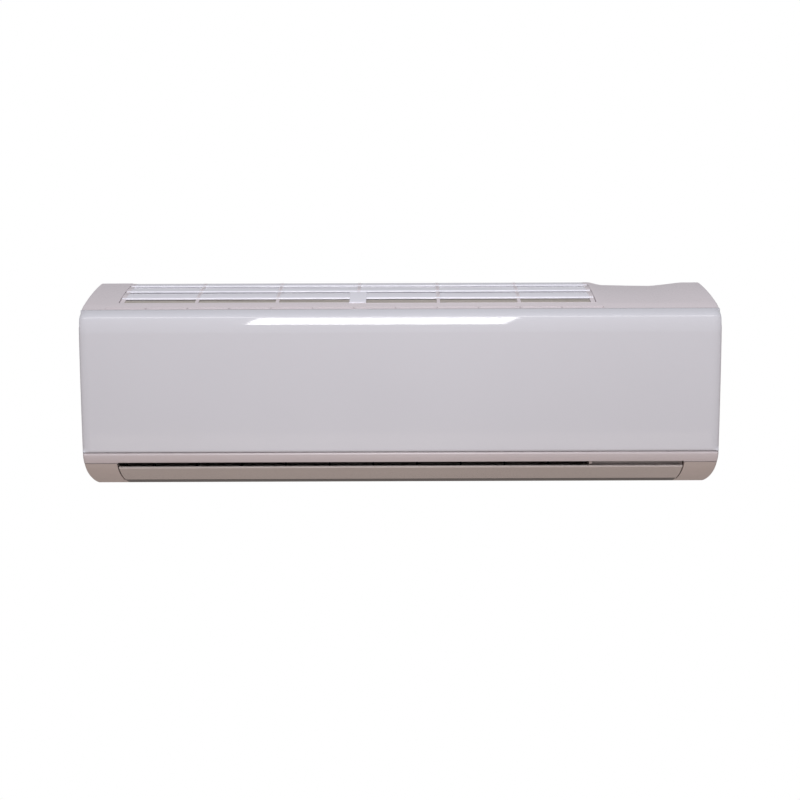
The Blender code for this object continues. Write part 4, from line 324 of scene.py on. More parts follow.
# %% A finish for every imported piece
finishes = {
    casing_satin: ["front_casing", "drain_plug", "cord_grip", "control_box_lid"],
    body_satin: ["rear_chassis", "motor_cover", "bearing_holder"],
    panel_gloss: ["front_panel"],
    grille_gloss: ["intake_grille"],
    flap_satin: ["louver"],
    duct_matt: ["link_bar_left", "link_bar_right", "control_box", "drain_pan", "terminal_block"],
    net: ["filter_left", "filter_right"],
    fan_dark: ["cross_flow_fan", "capacitor", "emergency_button", "coil_sensor", "fan_bearing"],
    fin_metal: ["evaporator_front_lower", "evaporator_front_upper", "evaporator_rear"],
    steel_zinc: ["mounting_plate", "fan_motor", "pipe_clamp", "transformer", "louver_motor"],
    steel_bright: ["fan_axle", "motor_shaft"],
    brass_turned: ["gas_nut", "liquid_nut", "louver_shaft"],
    copper_tube: ["gas_pipe", "liquid_pipe"],
    rubber: ["motor_rubber_left", "motor_rubber_right"],
    board: ["control_board", "display_board"],
    foam: ["drain_hose"],
}
finishes[duct_matt] += [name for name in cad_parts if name.startswith("vane_")]
finishes[steel_bright] += [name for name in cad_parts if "screw" in name]
for finish, names in finishes.items():
    for name in names:
        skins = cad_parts[name].data.materials
        skins.clear()
        skins.append(finish)
print("finishes:", len(finishes), "on", sum(len(names) for names in finishes.values()), "pieces")

# %% [markdown]
# The outer mouldings are the pieces that a visitor sees, so they are made again here with smooth
# curves. All of them follow the same side view: a profile of curves in the plane of Y and Z that is
# carried along X. The first few functions make such curves and move a line inwards.

# %% Curves in the side view
DROP = 0.130             # the origin stands this far above the unit's underside
HALF = 0.395             # half the unit's width
FRONT, HEIGHT = -0.195, 0.255


def bent(start, control, end, count=24):
    """Quadratic curve: (1-t)^2 start + 2t(1-t) control + t^2 end, with t from 0 to 1."""
    t = np.linspace(0, 1, count)[:, None]
    return ((1 - t) ** 2 * np.array(start) + 2 * t * (1 - t) * np.array(control)
            + t ** 2 * np.array(end))


def bow(centre, radius, first, last, count=12):
    """Arc: centre + radius (cos a, sin a), with a in degrees from +Y towards +Z."""
    a = np.radians(np.linspace(first, last, count))
    return np.stack([centre[0] + radius * np.cos(a), centre[1] + radius * np.sin(a)], axis=1)


def chain(*lines):
    """Lines end to end, with repeated points left out."""
    line = np.concatenate([np.atleast_2d(np.array(part, float)) for part in lines])
    step = np.linalg.norm(np.diff(line, axis=0), axis=1)
    return line[np.concatenate([[True], step > 1e-7])]


def normals(line):
    """Unit normal on the left of a line: its direction (dy, dz) turned to (-dz, dy)."""
    run = np.gradient(line, axis=0)
    run /= np.linalg.norm(run, axis=1, keepdims=True)
    return np.stack([-run[:, 1], run[:, 0]], axis=1)


def inward(line, distance):
    """The line moved along its normals, which point into the unit on a line from top to foot."""
    return line + distance * normals(line)


print("the side view is", -FRONT * 1000, "mm deep and", HEIGHT * 1000, "mm high")

# %% [markdown]
# A real moulding is a thin wall of plastic with even, rounded edges. A profile carried along X
# gives its faces as a grid, which could also come from a curve object with an extrusion. The grid
# is worked out here as whole arrays instead, so that the profile may change along the way, and a
# Bevel modifier then rounds the edges.

# %% Rings into walls
SOFT_ANGLE, BEVEL_ANGLE = 35, 40         # degrees above which an edge shades sharp, or is rounded


def quads(rows, across, wrap=False):
    """Corner numbers of each cell of a grid; wrap joins the last column to the first."""
    r = np.arange(rows - 1)[:, None]
    c = np.arange(across if wrap else across - 1)[None, :]
    n = (c + 1) % across
    return np.stack([r * across + c, r * across + n, (r + 1) * across + n, (r + 1) * across + c],
                    axis=2).reshape(-1, 4)


def carried(xs, outlines):
    """Outline k, closed, stands at x = xs[k]; walls join neighbours, and both ends are capped."""
    outlines = np.asarray(outlines, float)
    if outlines.ndim == 2:
        outlines = np.repeat(outlines[None], len(xs), axis=0)
    rows, count = outlines.shape[:2]
    points = np.empty((rows, count, 3))
    points[..., 0] = np.asarray(xs)[:, None]
    points[..., 1] = outlines[..., 0]
    points[..., 2] = outlines[..., 1] - DROP
    last = (rows - 1) * count
    faces = quads(rows, count, wrap=True).tolist()
    faces += [list(range(count)), list(range(last + count - 1, last - 1, -1))]
    return points.reshape(-1, 3), faces


def bar(centre, radius, low_x, high_x, count=24):
    """A round pin along X: a circle in the side view, carried from end to end."""
    return carried([low_x, high_x], bow(centre, radius, 0, 360 - 360 / count, count))


def span(side, near, far):
    """The stretch of X from near to far on the right (1) or the left (-1), its low end first."""
    return sorted((side * near, side * far))


def closed_mesh(name, points, faces):
    """A mesh of closed solids, with every face turned to look outwards."""
    mesh = bpy.data.meshes.new(name)
    mesh.from_pydata(points.tolist(), [], faces)
    cage = bmesh.new()
    cage.from_mesh(mesh)
    bmesh.ops.recalc_face_normals(cage, faces=cage.faces)
    cage.to_mesh(mesh)
    cage.free()
    return mesh


def piece(name, solids, body, finish, stands_for=(), bevel=0.0):
    """One object from several closed solids, riding a body, with edges rounded by bevel."""
    points, faces, start = [], [], 0
    for corners, cells in solids:
        points.append(corners)
        faces += [[index + start for index in cell] for cell in cells]
        start += len(corners)
    mesh = closed_mesh(name, np.concatenate(points), faces)
    mesh.shade_smooth()
    mesh.set_sharp_from_angle(angle=math.radians(SOFT_ANGLE))
    made = bpy.data.objects.new(name, mesh)
    bpy.context.scene.collection.objects.link(made)
    mesh.materials.append(finish)
    if bevel:
        edge = made.modifiers.new("edge", "BEVEL")
        edge.width, edge.segments, edge.limit_method = bevel, 3, "ANGLE"
        edge.angle_limit = math.radians(BEVEL_ANGLE)
        edge.harden_normals = True
    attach(made, body)
    if stands_for:
        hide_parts(*stands_for)
    return made


print("a pin of 24 sides has", len(bar((0, 0), 0.001, 0, 1)[0]), "corners")

# %% [markdown]
# The front panel is one glossy shell as wide as the unit. From the side it is a nearly flat face
# that bows a few millimetres, leans back over its top two centimetres and then turns in a tight
# bend to a short lip. That lean is what mirrors the studio's lamp as the long white bar in the
# photograph. Curves with a control point give such a face fewer wrinkles than points set by hand.

# %% Front panel, profile
LIP = (FRONT + 0.021, HEIGHT - 0.0242)   # rear end of the lip
BEND_TOP = (-0.1906, 0.22665)            # control point of the lip's bend
BEND_FOOT = (-0.1925, 0.2215)            # from here the face leans forwards and down
LEAN = (FRONT, 0.2146)                   # control point of the lean
FACE_START = (FRONT, 0.203)
FACE_CONTROL = (FRONT + 0.002, HEIGHT * 0.55)
PANEL_LOW = (FRONT + 0.0125, 0.0545)     # the panel's foot
RIM, RIM_FOOT = 0.0003, 0.2265           # the lip ends in a short wall: its offset and its foot
FOOT_DEEP = 0.0042                       # the foot turns back this far

lip = bent(LIP, BEND_TOP, BEND_FOOT, 20)
face = bent(FACE_START, FACE_CONTROL, PANEL_LOW, 60)
face = face[face[:, 1] > PANEL_LOW[1] + 0.0006]


def face_y(z):
    """Depth of the panel's outer face at a height, read from its curve."""
    return np.interp(z, face[::-1, 1], face[::-1, 0])


rim_y, foot_y = LIP[0] + RIM, face[-1, 0]
profile = chain([(rim_y, RIM_FOOT), (rim_y, lip[0, 1] - RIM)],
                [(rim_y - 0.0001, lip[0, 1] - 0.00005)], lip,
                bent(BEND_FOOT, LEAN, FACE_START, 22)[1:], face[1:],
                [(foot_y + 0.0002, PANEL_LOW[1] + 0.0002), (foot_y + 0.0006, PANEL_LOW[1]),
                 (foot_y + FOOT_DEEP, PANEL_LOW[1])])
tall = round(float(np.ptp(profile[:, 1])) * 1000, 1)
print("panel profile:", len(profile), "points,", tall, "mm tall")

# %% [markdown]
# Towards each end the face falls back on an ellipse, which gives the soft grey margins. The skin is
# a grid: one direction runs down the profile, the other across the width. A Solidify modifier then
# gives it a wall, which closes the shell round its rim.

# %% Front panel, skin
EDGE_WIDE, EDGE_DEEP = 0.0115, 0.0042    # the ellipse at each end
END_GAP = 0.0004                         # the panel ends this far inside the unit's ends
PANEL_WALL = 0.0022


def panel_skin():
    """Point(s, x) = profile(s) moved in by drop(x) along its normal. The drop is zero over the
    middle and follows an ellipse, deep * (1 - cos a) at wide * sin a, over the last centimetre.
    The rim behind the lip and the end of the foot stay in line across the whole width."""
    turn = np.radians(np.linspace(0, 88, 15))
    side_x = HALF - END_GAP - EDGE_WIDE * (1 - np.sin(turn))
    side_drop = EDGE_DEEP * (1 - np.cos(turn))
    middle_x = np.linspace(-side_x[0], side_x[0], 21)[1:-1]
    xs = np.concatenate([-side_x[::-1], middle_x, side_x])
    drops = np.concatenate([side_drop[::-1], 0 * middle_x, side_drop])
    weight = np.ones(len(profile))
    weight[:3] = 0.0
    weight[-3:] = (0.35, 0.0, 0.0)
    move = normals(profile) * weight[:, None]
    flat = profile[None] + drops[:, None, None] * move[None]
    points = np.empty((len(xs), len(profile), 3))
    points[..., 0] = xs[:, None]
    points[..., 1] = flat[..., 0]
    points[..., 2] = flat[..., 1] - DROP
    return points.reshape(-1, 3), quads(len(xs), len(profile))


points, cells = panel_skin()
mesh = bpy.data.meshes.new("panel_skin")
mesh.from_pydata(points.tolist(), [], cells.tolist())
if np.mean([polygon.normal[1] for polygon in mesh.polygons]) > 0:
    mesh.flip_normals()
mesh.shade_smooth()
panel = bpy.data.objects.new("panel_shell", mesh)
bpy.context.scene.collection.objects.link(panel)
mesh.materials.append(panel_gloss)
wall = panel.modifiers.new("wall", "SOLIDIFY")
wall.thickness, wall.offset, wall.use_even_offset = PANEL_WALL, -1.0, True
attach(panel, "panel")
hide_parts("front_panel")
print("panel skin:", len(points), "points")

# %% [markdown]
# The panel hangs on two short arms whose pins turn in the casing, and three flat hooks along its
# foot snap it shut. They sit behind the skin and show only when the panel is lifted, so plain
# profiles carried a few millimetres are enough for them.

# %% Panel arms, pins and hooks
HINGE = (FRONT + 0.018, HEIGHT - 0.034)
HINGE_X = HALF - 0.021                   # outer face of an arm
ARM_WIDE, ARM_RADIUS, PIN_RADIUS = 0.004, 0.0042, 0.0022
LATCH_Z = PANEL_LOW[1] + 0.0145
LATCHES = (-0.250, 0.0, 0.250)
HOOK_HALF = 0.006                        # half a hook's width

arm = chain([(FRONT + 0.0025, 0.2125)], bow(HINGE, ARM_RADIUS, -90, 80, 16),
            [(FRONT + 0.0055, 0.219)])
hook = np.array([(0.0018, -0.002), (0.0070, -0.002), (0.0070, 0.0008), (0.0058, 0.002),
                 (0.0018, 0.002)]) + (face_y(LATCH_Z), LATCH_Z)
fittings = []
for side in (-1, 1):
    fittings.append(carried(span(side, HINGE_X - ARM_WIDE, HINGE_X), arm))
    fittings.append(bar(HINGE, PIN_RADIUS, *span(side, HINGE_X - 0.001, HINGE_X + 0.006)))
for x in LATCHES:
    fittings.append(carried([x - HOOK_HALF, x + HOOK_HALF], hook))
piece("panel_fittings", fittings, "panel", casing_satin, bevel=0.0003)
print("panel fittings:", len(fittings))

# %% [markdown]
# The flap is a long curved blade in the unit's own lower curve, so that it closes flush. Its
# outline is two lines 3 mm apart with round edges between them, and a bead along its front edge
# takes a thin line of light. A rib along its back keeps it straight. An arm at each end carries
# it: the left one turns on a pin, and the wider right one sits on the motor's shaft.

# %% Louver flap
FLOOR = (-0.066, 0.0)                    # the lower curve meets the flat underside here
LOW_CONTROL = (FRONT + 0.023, 0.022)
PIVOT = (FRONT + 0.080, 0.024)
LOUVER_END = 0.3525                      # half the flap's length
FLAP_FRONT, FLAP_REAR = 0.392, 0.805     # its two edges, as stations of the lower curve
FLAP_WALL = 0.003
BEAD = 0.0017                            # radius of the bead
PIVOT_PIN = (-HALF + 0.041 - 0.0035, -LOUVER_END + 0.002)    # from its bush into the left arm


def low_line(first, last, count):
    """Stations of the lower curve, from the panel's foot (0) to the flat floor (1)."""
    t = np.linspace(first, last, count)[:, None]
    return ((1 - t) ** 2 * np.array(PANEL_LOW) + 2 * t * (1 - t) * np.array(LOW_CONTROL)
            + t ** 2 * np.array(FLOOR))


def blade_outline(first, last, thick, count=40):
    """Outer line, round edge, inner line back, round edge: both edges are half circles."""
    outer = low_line(first, last, count)
    inner = inward(outer, thick)
    middle = (outer + inner) / 2
    rounds = []
    for end, neighbour in ((0, 1), (-1, -2)):
        across = outer[end] - middle[end]
        along = outer[end] - outer[neighbour]
        along /= np.linalg.norm(along)
        a = np.radians(np.linspace(0, 180, 9))[:, None]
        rounds.append(middle[end] + np.cos(a) * across + np.sin(a) * along * thick / 2)
    return chain(outer[1:-1], rounds[1], inner[1:-1][::-1], rounds[0][::-1])


blade = blade_outline(FLAP_FRONT, FLAP_REAR, FLAP_WALL)
arm = chain(inward(low_line(0.50, 0.76, 12), 0.001), bow(PIVOT, 0.0055, -30, 150, 18))
spine = chain(inward(low_line(0.55, 0.80, 12), 0.002),
              inward(low_line(0.60, 0.74, 10), 0.0065)[::-1])
lead = low_line(FLAP_FRONT, FLAP_FRONT, 1)[0]
flap = [carried([-LOUVER_END, LOUVER_END], blade),
        carried([-LOUVER_END, LOUVER_END], bow(lead + (-0.0012, BEAD), BEAD, 0, 345, 24)),
        carried([-LOUVER_END, -LOUVER_END + 0.003], arm),
        carried([LOUVER_END - 0.0055, LOUVER_END], arm),
        bar(PIVOT, 0.003, *PIVOT_PIN),
        carried([-LOUVER_END + 0.012, LOUVER_END - 0.012], spine)]
piece("louver_flap", flap, "louver", flap_satin, ["louver"], bevel=0.0004)
print("louver outline:", len(blade), "points")

# %% [markdown]
# The intake grille is a polished frame of three broad slats. Each slat rolls over at its front edge
# like a visor, and those round edges are the bright lines along the top of the unit. Five stepped
# ribs and two end bars, left with the casing's satin skin, join the slats, and a small tab in the
# middle lets a finger lift the grille. The slot in front of the first slat shows a strip of net.

# %% Grille, outlines of slat and rib
GRILLE_LEFT, GRILLE_RIGHT = -0.3514, 0.2444
GRILLE_START, GRILLE_END = FRONT + 0.0462, -0.0013
REAR_TOP, CREASE = (-0.001, HEIGHT), (FRONT + 0.041, HEIGHT - 0.019)
NOSES = (FRONT + 0.074, FRONT + 0.1185, FRONT + 0.163)   # where each slat's front edge begins
SLAT_DEEP, SLAT_WALL = 0.036, 0.0016
SLAT_LIFT, SLAT_DIP = 0.0005, 0.0013     # over the casing's curve in front, and lost at the rear
NOSE_LONG, NOSE_TALL = 0.0030, 0.0019    # half axes of the rolled edge
RIB_DEEP = 0.0097

top_line = bent(REAR_TOP, (CREASE[0] * 0.52, HEIGHT - 0.0053), CREASE, 60)
roof_line = chain(top_line, [LIP])


def top_z(y):
    """Height of the casing's top at a depth, read from its curve and the slope in front of it."""
    return np.interp(y, roof_line[::-1, 0], roof_line[::-1, 1])


def slat_outline(nose):
    """Casing's top line raised by lift - dip * u^2 with u from 0 at the nose to 1 at the rear; a
    nose that rolls over on an ellipse; and the same line lowered by the wall."""
    y = np.linspace(min(nose + SLAT_DEEP, -0.004), nose + NOSE_LONG, 16)
    z = top_z(y) + SLAT_LIFT - SLAT_DIP * ((y - nose) / SLAT_DEEP) ** 2
    a = np.radians(np.linspace(90, 215, 12))
    roll = np.stack([y[-1] + NOSE_LONG * np.cos(a), z[-1] - NOSE_TALL + NOSE_TALL * np.sin(a)],
                    axis=1)
    return chain(np.stack([y, z], axis=1), roll, np.stack([y, z - SLAT_WALL], axis=1)[::-1])


def rib_outline():
    """Steps up at each slat and down between them, and runs flat underneath: each corner is the
    casing's curve at a depth plus a rise."""
    corners = [(GRILLE_START, -0.0008)]
    for nose in NOSES:
        rear = min(nose + SLAT_DEEP, -0.007)
        corners += [(nose - 0.001, -0.001), (nose + 0.003, 0.0007), (rear - 0.001, 0.0003),
                    (rear + 0.002, -0.001)]
    corners.append((GRILLE_END, -0.0005))
    corners += [(y, -RIB_DEEP) for y in (GRILLE_END, -0.080, GRILLE_START)]
    return chain([(y, top_z(y) + rise) for y, rise in corners])


def roof_strip(first, last, count, upper, lower):
    """A band along the casing's curve between two depths: the curve raised by upper, and the curve
    raised by lower on the way back."""
    y = np.linspace(first, last, count)
    return np.concatenate([np.stack([y, top_z(y) + upper], axis=1),
                           np.stack([y, top_z(y) + lower], axis=1)[::-1]])


print("the casing's top rises", round((HEIGHT - CREASE[1]) * 1000), "mm from crease to wall")

# %% [markdown]
# On the real unit the grille is one moulding. Here its ribs and its slats are two objects, because
# the slats are polished and the ribs are not. A rail closes the frame in front and a bar behind.

# %% Intake grille
RIB_FIRST, RIB_PITCH, RIB_HALF = -0.255, 0.101, 0.0022
END_BAR = 0.006
SLAT_SPAN = [GRILLE_LEFT + 0.001, GRILLE_RIGHT - 0.001]
TAB_SPAN = [-0.0635, -0.0425]

rib_spans = [[x - RIB_HALF, x + RIB_HALF] for x in (RIB_FIRST + i * RIB_PITCH for i in range(5))]
ribs = [carried(xs, rib_outline())
        for xs in ([GRILLE_LEFT, GRILLE_LEFT + END_BAR], [GRILLE_RIGHT - END_BAR, GRILLE_RIGHT],
                   *rib_spans)]
piece("grille_ribs", ribs, "housing", casing_satin, ["intake_grille"],
      bevel=0.0004)

rail_z = top_z(GRILLE_START)
front_rail = [(GRILLE_START, rail_z - 0.0006), (GRILLE_START + 0.0025, rail_z - 0.0004),
              (GRILLE_START + 0.0025, rail_z - 0.0055), (GRILLE_START, rail_z - 0.0055)]
rear_bar = [(-0.0085, HEIGHT - 0.0014), (GRILLE_END, HEIGHT - 0.0014),
            (GRILLE_END, HEIGHT - 0.0192), (-0.0085, HEIGHT - 0.0192)]
grille = [carried(SLAT_SPAN, slat_outline(nose)) for nose in NOSES]
grille += [carried(SLAT_SPAN, front_rail), carried(SLAT_SPAN, rear_bar),
           carried(TAB_SPAN, roof_strip(GRILLE_START + 0.0003, FRONT + 0.106, 12, 0.0012, -0.0024))]
piece("grille_slats", grille, "housing", grille_gloss, bevel=0.0004)

sheet = roof_strip(GRILLE_START + 0.0028, NOSES[0] + 0.006, 20, -0.0026, -0.0030)
piece("intake_net", [carried([GRILLE_LEFT + END_BAR, GRILLE_RIGHT - END_BAR], sheet)],
      "housing", net)
print("grille:", len(ribs), "ribs and bars,", len(grille), "slats, rails and tab")

# %% [markdown]
# The casing is the thin shell behind the panel: top, two ends, the wall with the air windows and
# the band under the panel. Its side view is one closed outline. Near each end the outline shrinks
# along a quarter circle, which rounds the edge, and a flat cap closes it. To the right of the
# grille the top is a little lower at the back, as the photograph's skyline shows.

# %% Casing, side view
SPLIT = 0.0393           # the casing ends here and the lower chassis begins
EDGE = 0.0035            # radius of the rounded ends
GUTTER = 0.0105          # radius of the hollow that the panel's lip turns in
SHELF = HEIGHT - 0.0445  # top of the front wall
BAND_TOP = PANEL_LOW[1] - 0.0002
CASING_FOOT = PANEL_LOW[1] + 0.004
WALL, WALL_BACK = 0.0025, 0.005          # wall thickness, and front wall's place behind the face
SHOULDER = 0.0034        # radius of the band's top edge, the bright line under the panel
SINK_X = (-1, 0.247, 0.262, 0.300, 0.330, 0.352, 0.368, 1)
SINK_Z = (0, 0, 0.0042, 0.0052, 0.0056, 0.0032, 0.0012, 0.0012)


def roof_z(x, y):
    """Height of the top: the curve of the side view, less a sink that is read from the table at x
    and grows from nothing at the crease to all of it at the wall."""
    sink = np.interp(x, SINK_X, SINK_Z)
    return top_z(y) - sink * np.clip((y - CREASE[0]) / -CREASE[0], 0, 1)


def casing_outline(x, drop):
    """Top line lowered by drop, gutter round the panel's hinge, front wall, and the band down to
    the split, where the same drop moves the curve inwards."""
    a = np.linspace(40, 80, 200)
    ring_y = HINGE[0] + GUTTER * np.cos(np.radians(a))
    ring_z = HINGE[1] + GUTTER * np.sin(np.radians(a))
    start = float(a[np.argmax(ring_z >= roof_z(x, ring_y) - drop - 0.0001)])
    lip_y = HINGE[0] + GUTTER * math.cos(math.radians(start))
    y = np.linspace(REAR_TOP[0], lip_y, 50)
    roof = np.stack([y, roof_z(x, y) - drop], axis=1)
    z = np.linspace(SHELF, CASING_FOOT, 30)
    front = np.stack([face_y(z) + WALL_BACK, z], axis=1)
    curve = inward(low_line(0, 0.5, 120), max(drop, 0.0003))
    edge_z = BAND_TOP - SHOULDER
    band_z = np.linspace(edge_z, SPLIT, 22)
    band = np.stack([np.interp(band_z, curve[::-1, 1], curve[::-1, 0]), band_z], axis=1)
    corner = bow((band[0, 0] + SHOULDER, edge_z), SHOULDER, 92, 178, 11)
    return np.concatenate([roof, bow(HINGE, GUTTER, start, -20, 20)[1:], front,
                           [(front[-1, 0], BAND_TOP)], corner, band, [(REAR_TOP[0], SPLIT)]])


# Stations along the unit, each with its drop. They stand closer where the top sinks.
a = np.radians(np.linspace(90, 0, 8))
left = np.stack([-HALF + EDGE * (1 - np.sin(a)), EDGE * (1 - np.cos(a))], axis=1)
inner_x = np.concatenate([np.linspace(-0.36, 0.24, 9), np.linspace(0.25, 0.384, 20)])
stations = np.concatenate([left, np.stack([inner_x, 0 * inner_x], axis=1), left[::-1] * (-1, 1)])
solid = carried(stations[:, 0], [casing_outline(x, drop) for x, drop in stations])
casing = piece("casing_shell", [solid], "housing", casing_satin, ["front_casing"])
print("casing:", len(solid[0]), "points before it is hollowed")

# %% [markdown]
# The hollow and the openings are then cut with a Boolean, because their straight edges cross the
# curved wall in many places. The grille's opening begins a little further forward right of its
# middle. Along the top's front edge runs a shallow groove with a small pit about every 50 mm.

# %% Casing, cutters
OPENING_FRONT = (FRONT + 0.0500, FRONT + 0.0455)         # the opening's front edge, left and right
OPENING_STEP = -0.050
LATCH_HALF_X, LATCH_HALF_Z = 0.0067, 0.0032
GROOVE_Y = np.array([-0.1712, -0.1650])
GROOVES, GROOVE_START, GROOVE_PITCH = 12, -0.365, 0.0515


def carve(made, cutters):
    """Takes solids away from a piece, bakes the result and throws the cutters away."""
    for corners, cells in cutters:
        tool = bpy.data.objects.new("cutter", closed_mesh("cutter", corners, cells))
        bpy.context.scene.collection.objects.link(tool)
        step = made.modifiers.new("cut", "BOOLEAN")
        step.operation, step.object, step.solver = "DIFFERENCE", tool, "EXACT"
        graph = bpy.context.evaluated_depsgraph_get()
        result = bpy.data.meshes.new_from_object(made.evaluated_get(graph))
        made.modifiers.clear()
        made.data = result
        bpy.data.objects.remove(tool, do_unlink=True)
    made.data.shade_smooth()
    made.data.set_sharp_from_angle(angle=math.radians(30))


def room_outline(x):
    """The hollow inside the casing, open to the wall and downwards, one wall inside the outline."""
    y = np.linspace(0.010, CREASE[0], 30)
    roof = np.stack([y, roof_z(x, y) - WALL], axis=1)
    z = np.linspace(SHELF - 0.003, CASING_FOOT + 0.002, 20)
    front = np.stack([face_y(z) + WALL_BACK + WALL, z], axis=1)
    band = inward(low_line(0, 0.5, 60), WALL)
    band = band[(band[:, 1] < BAND_TOP - WALL) & (band[:, 1] > 0.033)]
    return np.concatenate([roof, [(-0.160, top_z(-0.160) - 0.0035), (-0.1615, SHELF + 0.0035)],
                           front, [(front[-1, 0], BAND_TOP - WALL)], band, [(0.010, band[-1, 1])]])


def block(low, high):
    """A straight-sided cutter between two corners, each (x, y, z) above the underside."""
    return carried([low[0], high[0]], [(low[1], low[2]), (high[1], low[2]), (high[1], high[2]),
                                       (low[1], high[2])])


def groove_cut(low_x, high_x, depth):
    """A cutter over the groove's width whose floor lies the given depth under the top."""
    floor_z = top_z(GROOVE_Y) - depth
    return carried([low_x, high_x], [(GROOVE_Y[0], 0.24), (GROOVE_Y[1], 0.24),
                                     (GROOVE_Y[1], floor_z[1]), (GROOVE_Y[0], floor_z[0])])


print("the groove is", round(float(np.ptp(GROOVE_Y)) * 1000, 1), "mm wide")

# %% Casing, hollow and openings
room_x = np.concatenate([[WALL - HALF], inner_x, [HALF - WALL]])
cutters = [carried(room_x, [room_outline(x) for x in room_x]),
           # The grille's opening, left and right.
           block((-0.352, OPENING_FRONT[0], HEIGHT - 0.032), (OPENING_STEP, 0.01, HEIGHT + 0.01)),
           block((OPENING_STEP - 0.003, OPENING_FRONT[1], HEIGHT - 0.032),
                 (0.245, 0.01, HEIGHT + 0.01)),
           # The outlet's upper edge, the window to the filters and the display's opening.
           block((-0.3528, FRONT - 0.01, SPLIT - 0.002), (0.3528, -0.140, SPLIT + 0.0009)),
           block((-0.345, FRONT - 0.01, 0.078), (0.228, FRONT + 0.022, HEIGHT - 0.054)),
           block((0.317, FRONT, 0.0745), (0.357, FRONT + 0.021, 0.0875))]
for x in LATCHES:
    cutters.append(block((x - LATCH_HALF_X, FRONT, LATCH_Z - LATCH_HALF_Z),
                         (x + LATCH_HALF_X, FRONT + 0.021, LATCH_Z + LATCH_HALF_Z)))
for index in range(GROOVES):
    x = GROOVE_START + index * GROOVE_PITCH
    cutters += [groove_cut(x, x + 0.0488, 0.0010), groove_cut(x + 0.0492, x + 0.0511, 0.0040)]
carve(casing, cutters)
print("casing:", len(casing.data.polygons), "faces after", len(cutters), "cuts")

# %% [markdown]
# Behind the front wall three webs with ledges hold the two filters, which slide in along an arc. At
# each end a lug takes the panel's pin, and a thin rolled edge runs along the front of the grille's
# opening. A web has to fill the room that the casing leaves, so its outer line is found by testing
# points outwards from the arc.

# %% Casing, filter rails and hinge lugs
ARC = (FRONT + 0.107, 0.130)             # centre of the filters' arc
ARC_FIRST, ARC_LAST, ARC_STEPS = 71, 206, 46
RAIL_IN, LEDGE_IN, LEDGE_OUT = 0.0910, 0.0902, 0.0924    # radii of the web and of its ledge
WEB_FLUSH, WEB_LOW = 0.0018, 0.0102      # a web's place under the top: at the end, under the grille
LUG = 0.0046


def rail_web(low_x, high_x, depth):
    """A plate between the filter's arc and the casing. Its outer radius at each angle is the last
    one that still lies under the top by the given depth, behind the front wall and clear of the
    gutter that the panel's lip turns in."""
    a = np.radians(np.linspace(ARC_FIRST, ARC_LAST, ARC_STEPS))[:, None]
    radius = np.linspace(0.0912, 0.150, 120)[None, :]
    y, z = ARC[0] + radius * np.cos(a), ARC[1] + radius * np.sin(a)
    under = z < top_z(y) - depth
    free = under & (y > face_y(z) + 0.0062) & (z < SHELF + 0.014)
    free |= under & (y > -0.162)
    free &= np.hypot(y - HINGE[0], z - HINGE[1]) > GUTTER + 0.0005
    reach = np.maximum(np.argmin(free, axis=1) - 1, 0)
    step = np.arange(ARC_STEPS)
    outer = np.stack([y[step, reach], z[step, reach]], axis=1)
    inner = bow(ARC, RAIL_IN, ARC_LAST, ARC_FIRST, ARC_STEPS)
    return carried([low_x, high_x], np.concatenate([inner, outer]))


def rail_ledge(low_x, high_x):
    """The shelf that the filter's edge slides on, a band between two radii."""
    return carried([low_x, high_x],
                   np.concatenate([bow(ARC, LEDGE_IN, ARC_FIRST, ARC_LAST, ARC_STEPS),
                                   bow(ARC, LEDGE_OUT, ARC_LAST, ARC_FIRST, ARC_STEPS)]))


rails = [rail_web(-0.3506, -0.3486, WEB_FLUSH), rail_ledge(-0.350, -0.342),
         rail_web(-0.058, -0.052, WEB_LOW), rail_ledge(-0.064, -0.046),
         rail_web(0.2306, 0.2326, WEB_LOW), rail_ledge(0.224, 0.232)]
lug = np.concatenate([bow(HINGE, LUG, -26, 270, 24), [(HINGE[0] + 0.0120, HINGE[1] - LUG),
                      (HINGE[0] + 0.0120, HINGE[1] - 0.0022)]])
for side in (-1, 1):
    rails.append(carried(span(side, HINGE_X + 0.0006, HINGE_X + 0.0046), lug))
roll = bow((OPENING_FRONT[1], top_z(OPENING_FRONT[1]) - 0.0003), 0.0007, 0, 330, 12)
rails.append(carried([OPENING_STEP, 0.2448], roll))
piece("casing_rails", rails, "housing", casing_satin, bevel=0.0003)
print("rails, lugs and rolled edge:", len(rails))

# %% [markdown]
# The cooled air leaves by the slot over the flap. Behind the slot's right end, under the electric
# parts, the chassis closes the slot with a short wall, so the slot looks less deep there. A grey
# strip along the flap's rear edge is painted shadow: it draws the dark shadow line under the flap.

# %% Outlet, end wall and painted shadow strip
OUTLET_END = 0.3532
SHADOW_FIRST, SHADOW_LAST = 0.815, 0.985     # the painted shadow strip's edges, as stations of the lower curve
SHADOW_OUT, SHADOW_IN, SHADOW_END = -0.0002, 0.0010, 0.3520

shield = [(-0.1520, 0.0405), (-0.1500, 0.0405), (-0.1500, 0.0315), (-0.1520, 0.0315)]
stub = [(-0.1632, 0.0363), (-0.1600, 0.0363), (-0.1600, 0.0402), (-0.1632, 0.0402)]
piece("outlet_end_shield", [carried([0.2370, OUTLET_END], shield), carried([0.2356, 0.2392], stub)],
      "housing", body_satin, bevel=0.0003)
# A thin grey strip along the lower curve: painted shadow under the flap's rear edge.
shadow_line = low_line(SHADOW_FIRST, SHADOW_LAST, 30)
band = np.concatenate([inward(shadow_line, SHADOW_OUT), inward(shadow_line, SHADOW_IN)[::-1]])
piece("outlet_shadow_strip", [carried([-SHADOW_END, SHADOW_END], band)], "housing", duct_matt)
print("outlet: end wall and a lip of", len(shadow_line), "stations")

# %% [markdown]
# The studio is a pale room. The world gives an even fill at a plain level, and the camera sees it
# as white. The floor lies well below the unit, as under a wall unit, and to everything but the
# camera it is a warm grey, which colours the light that reaches the flap.

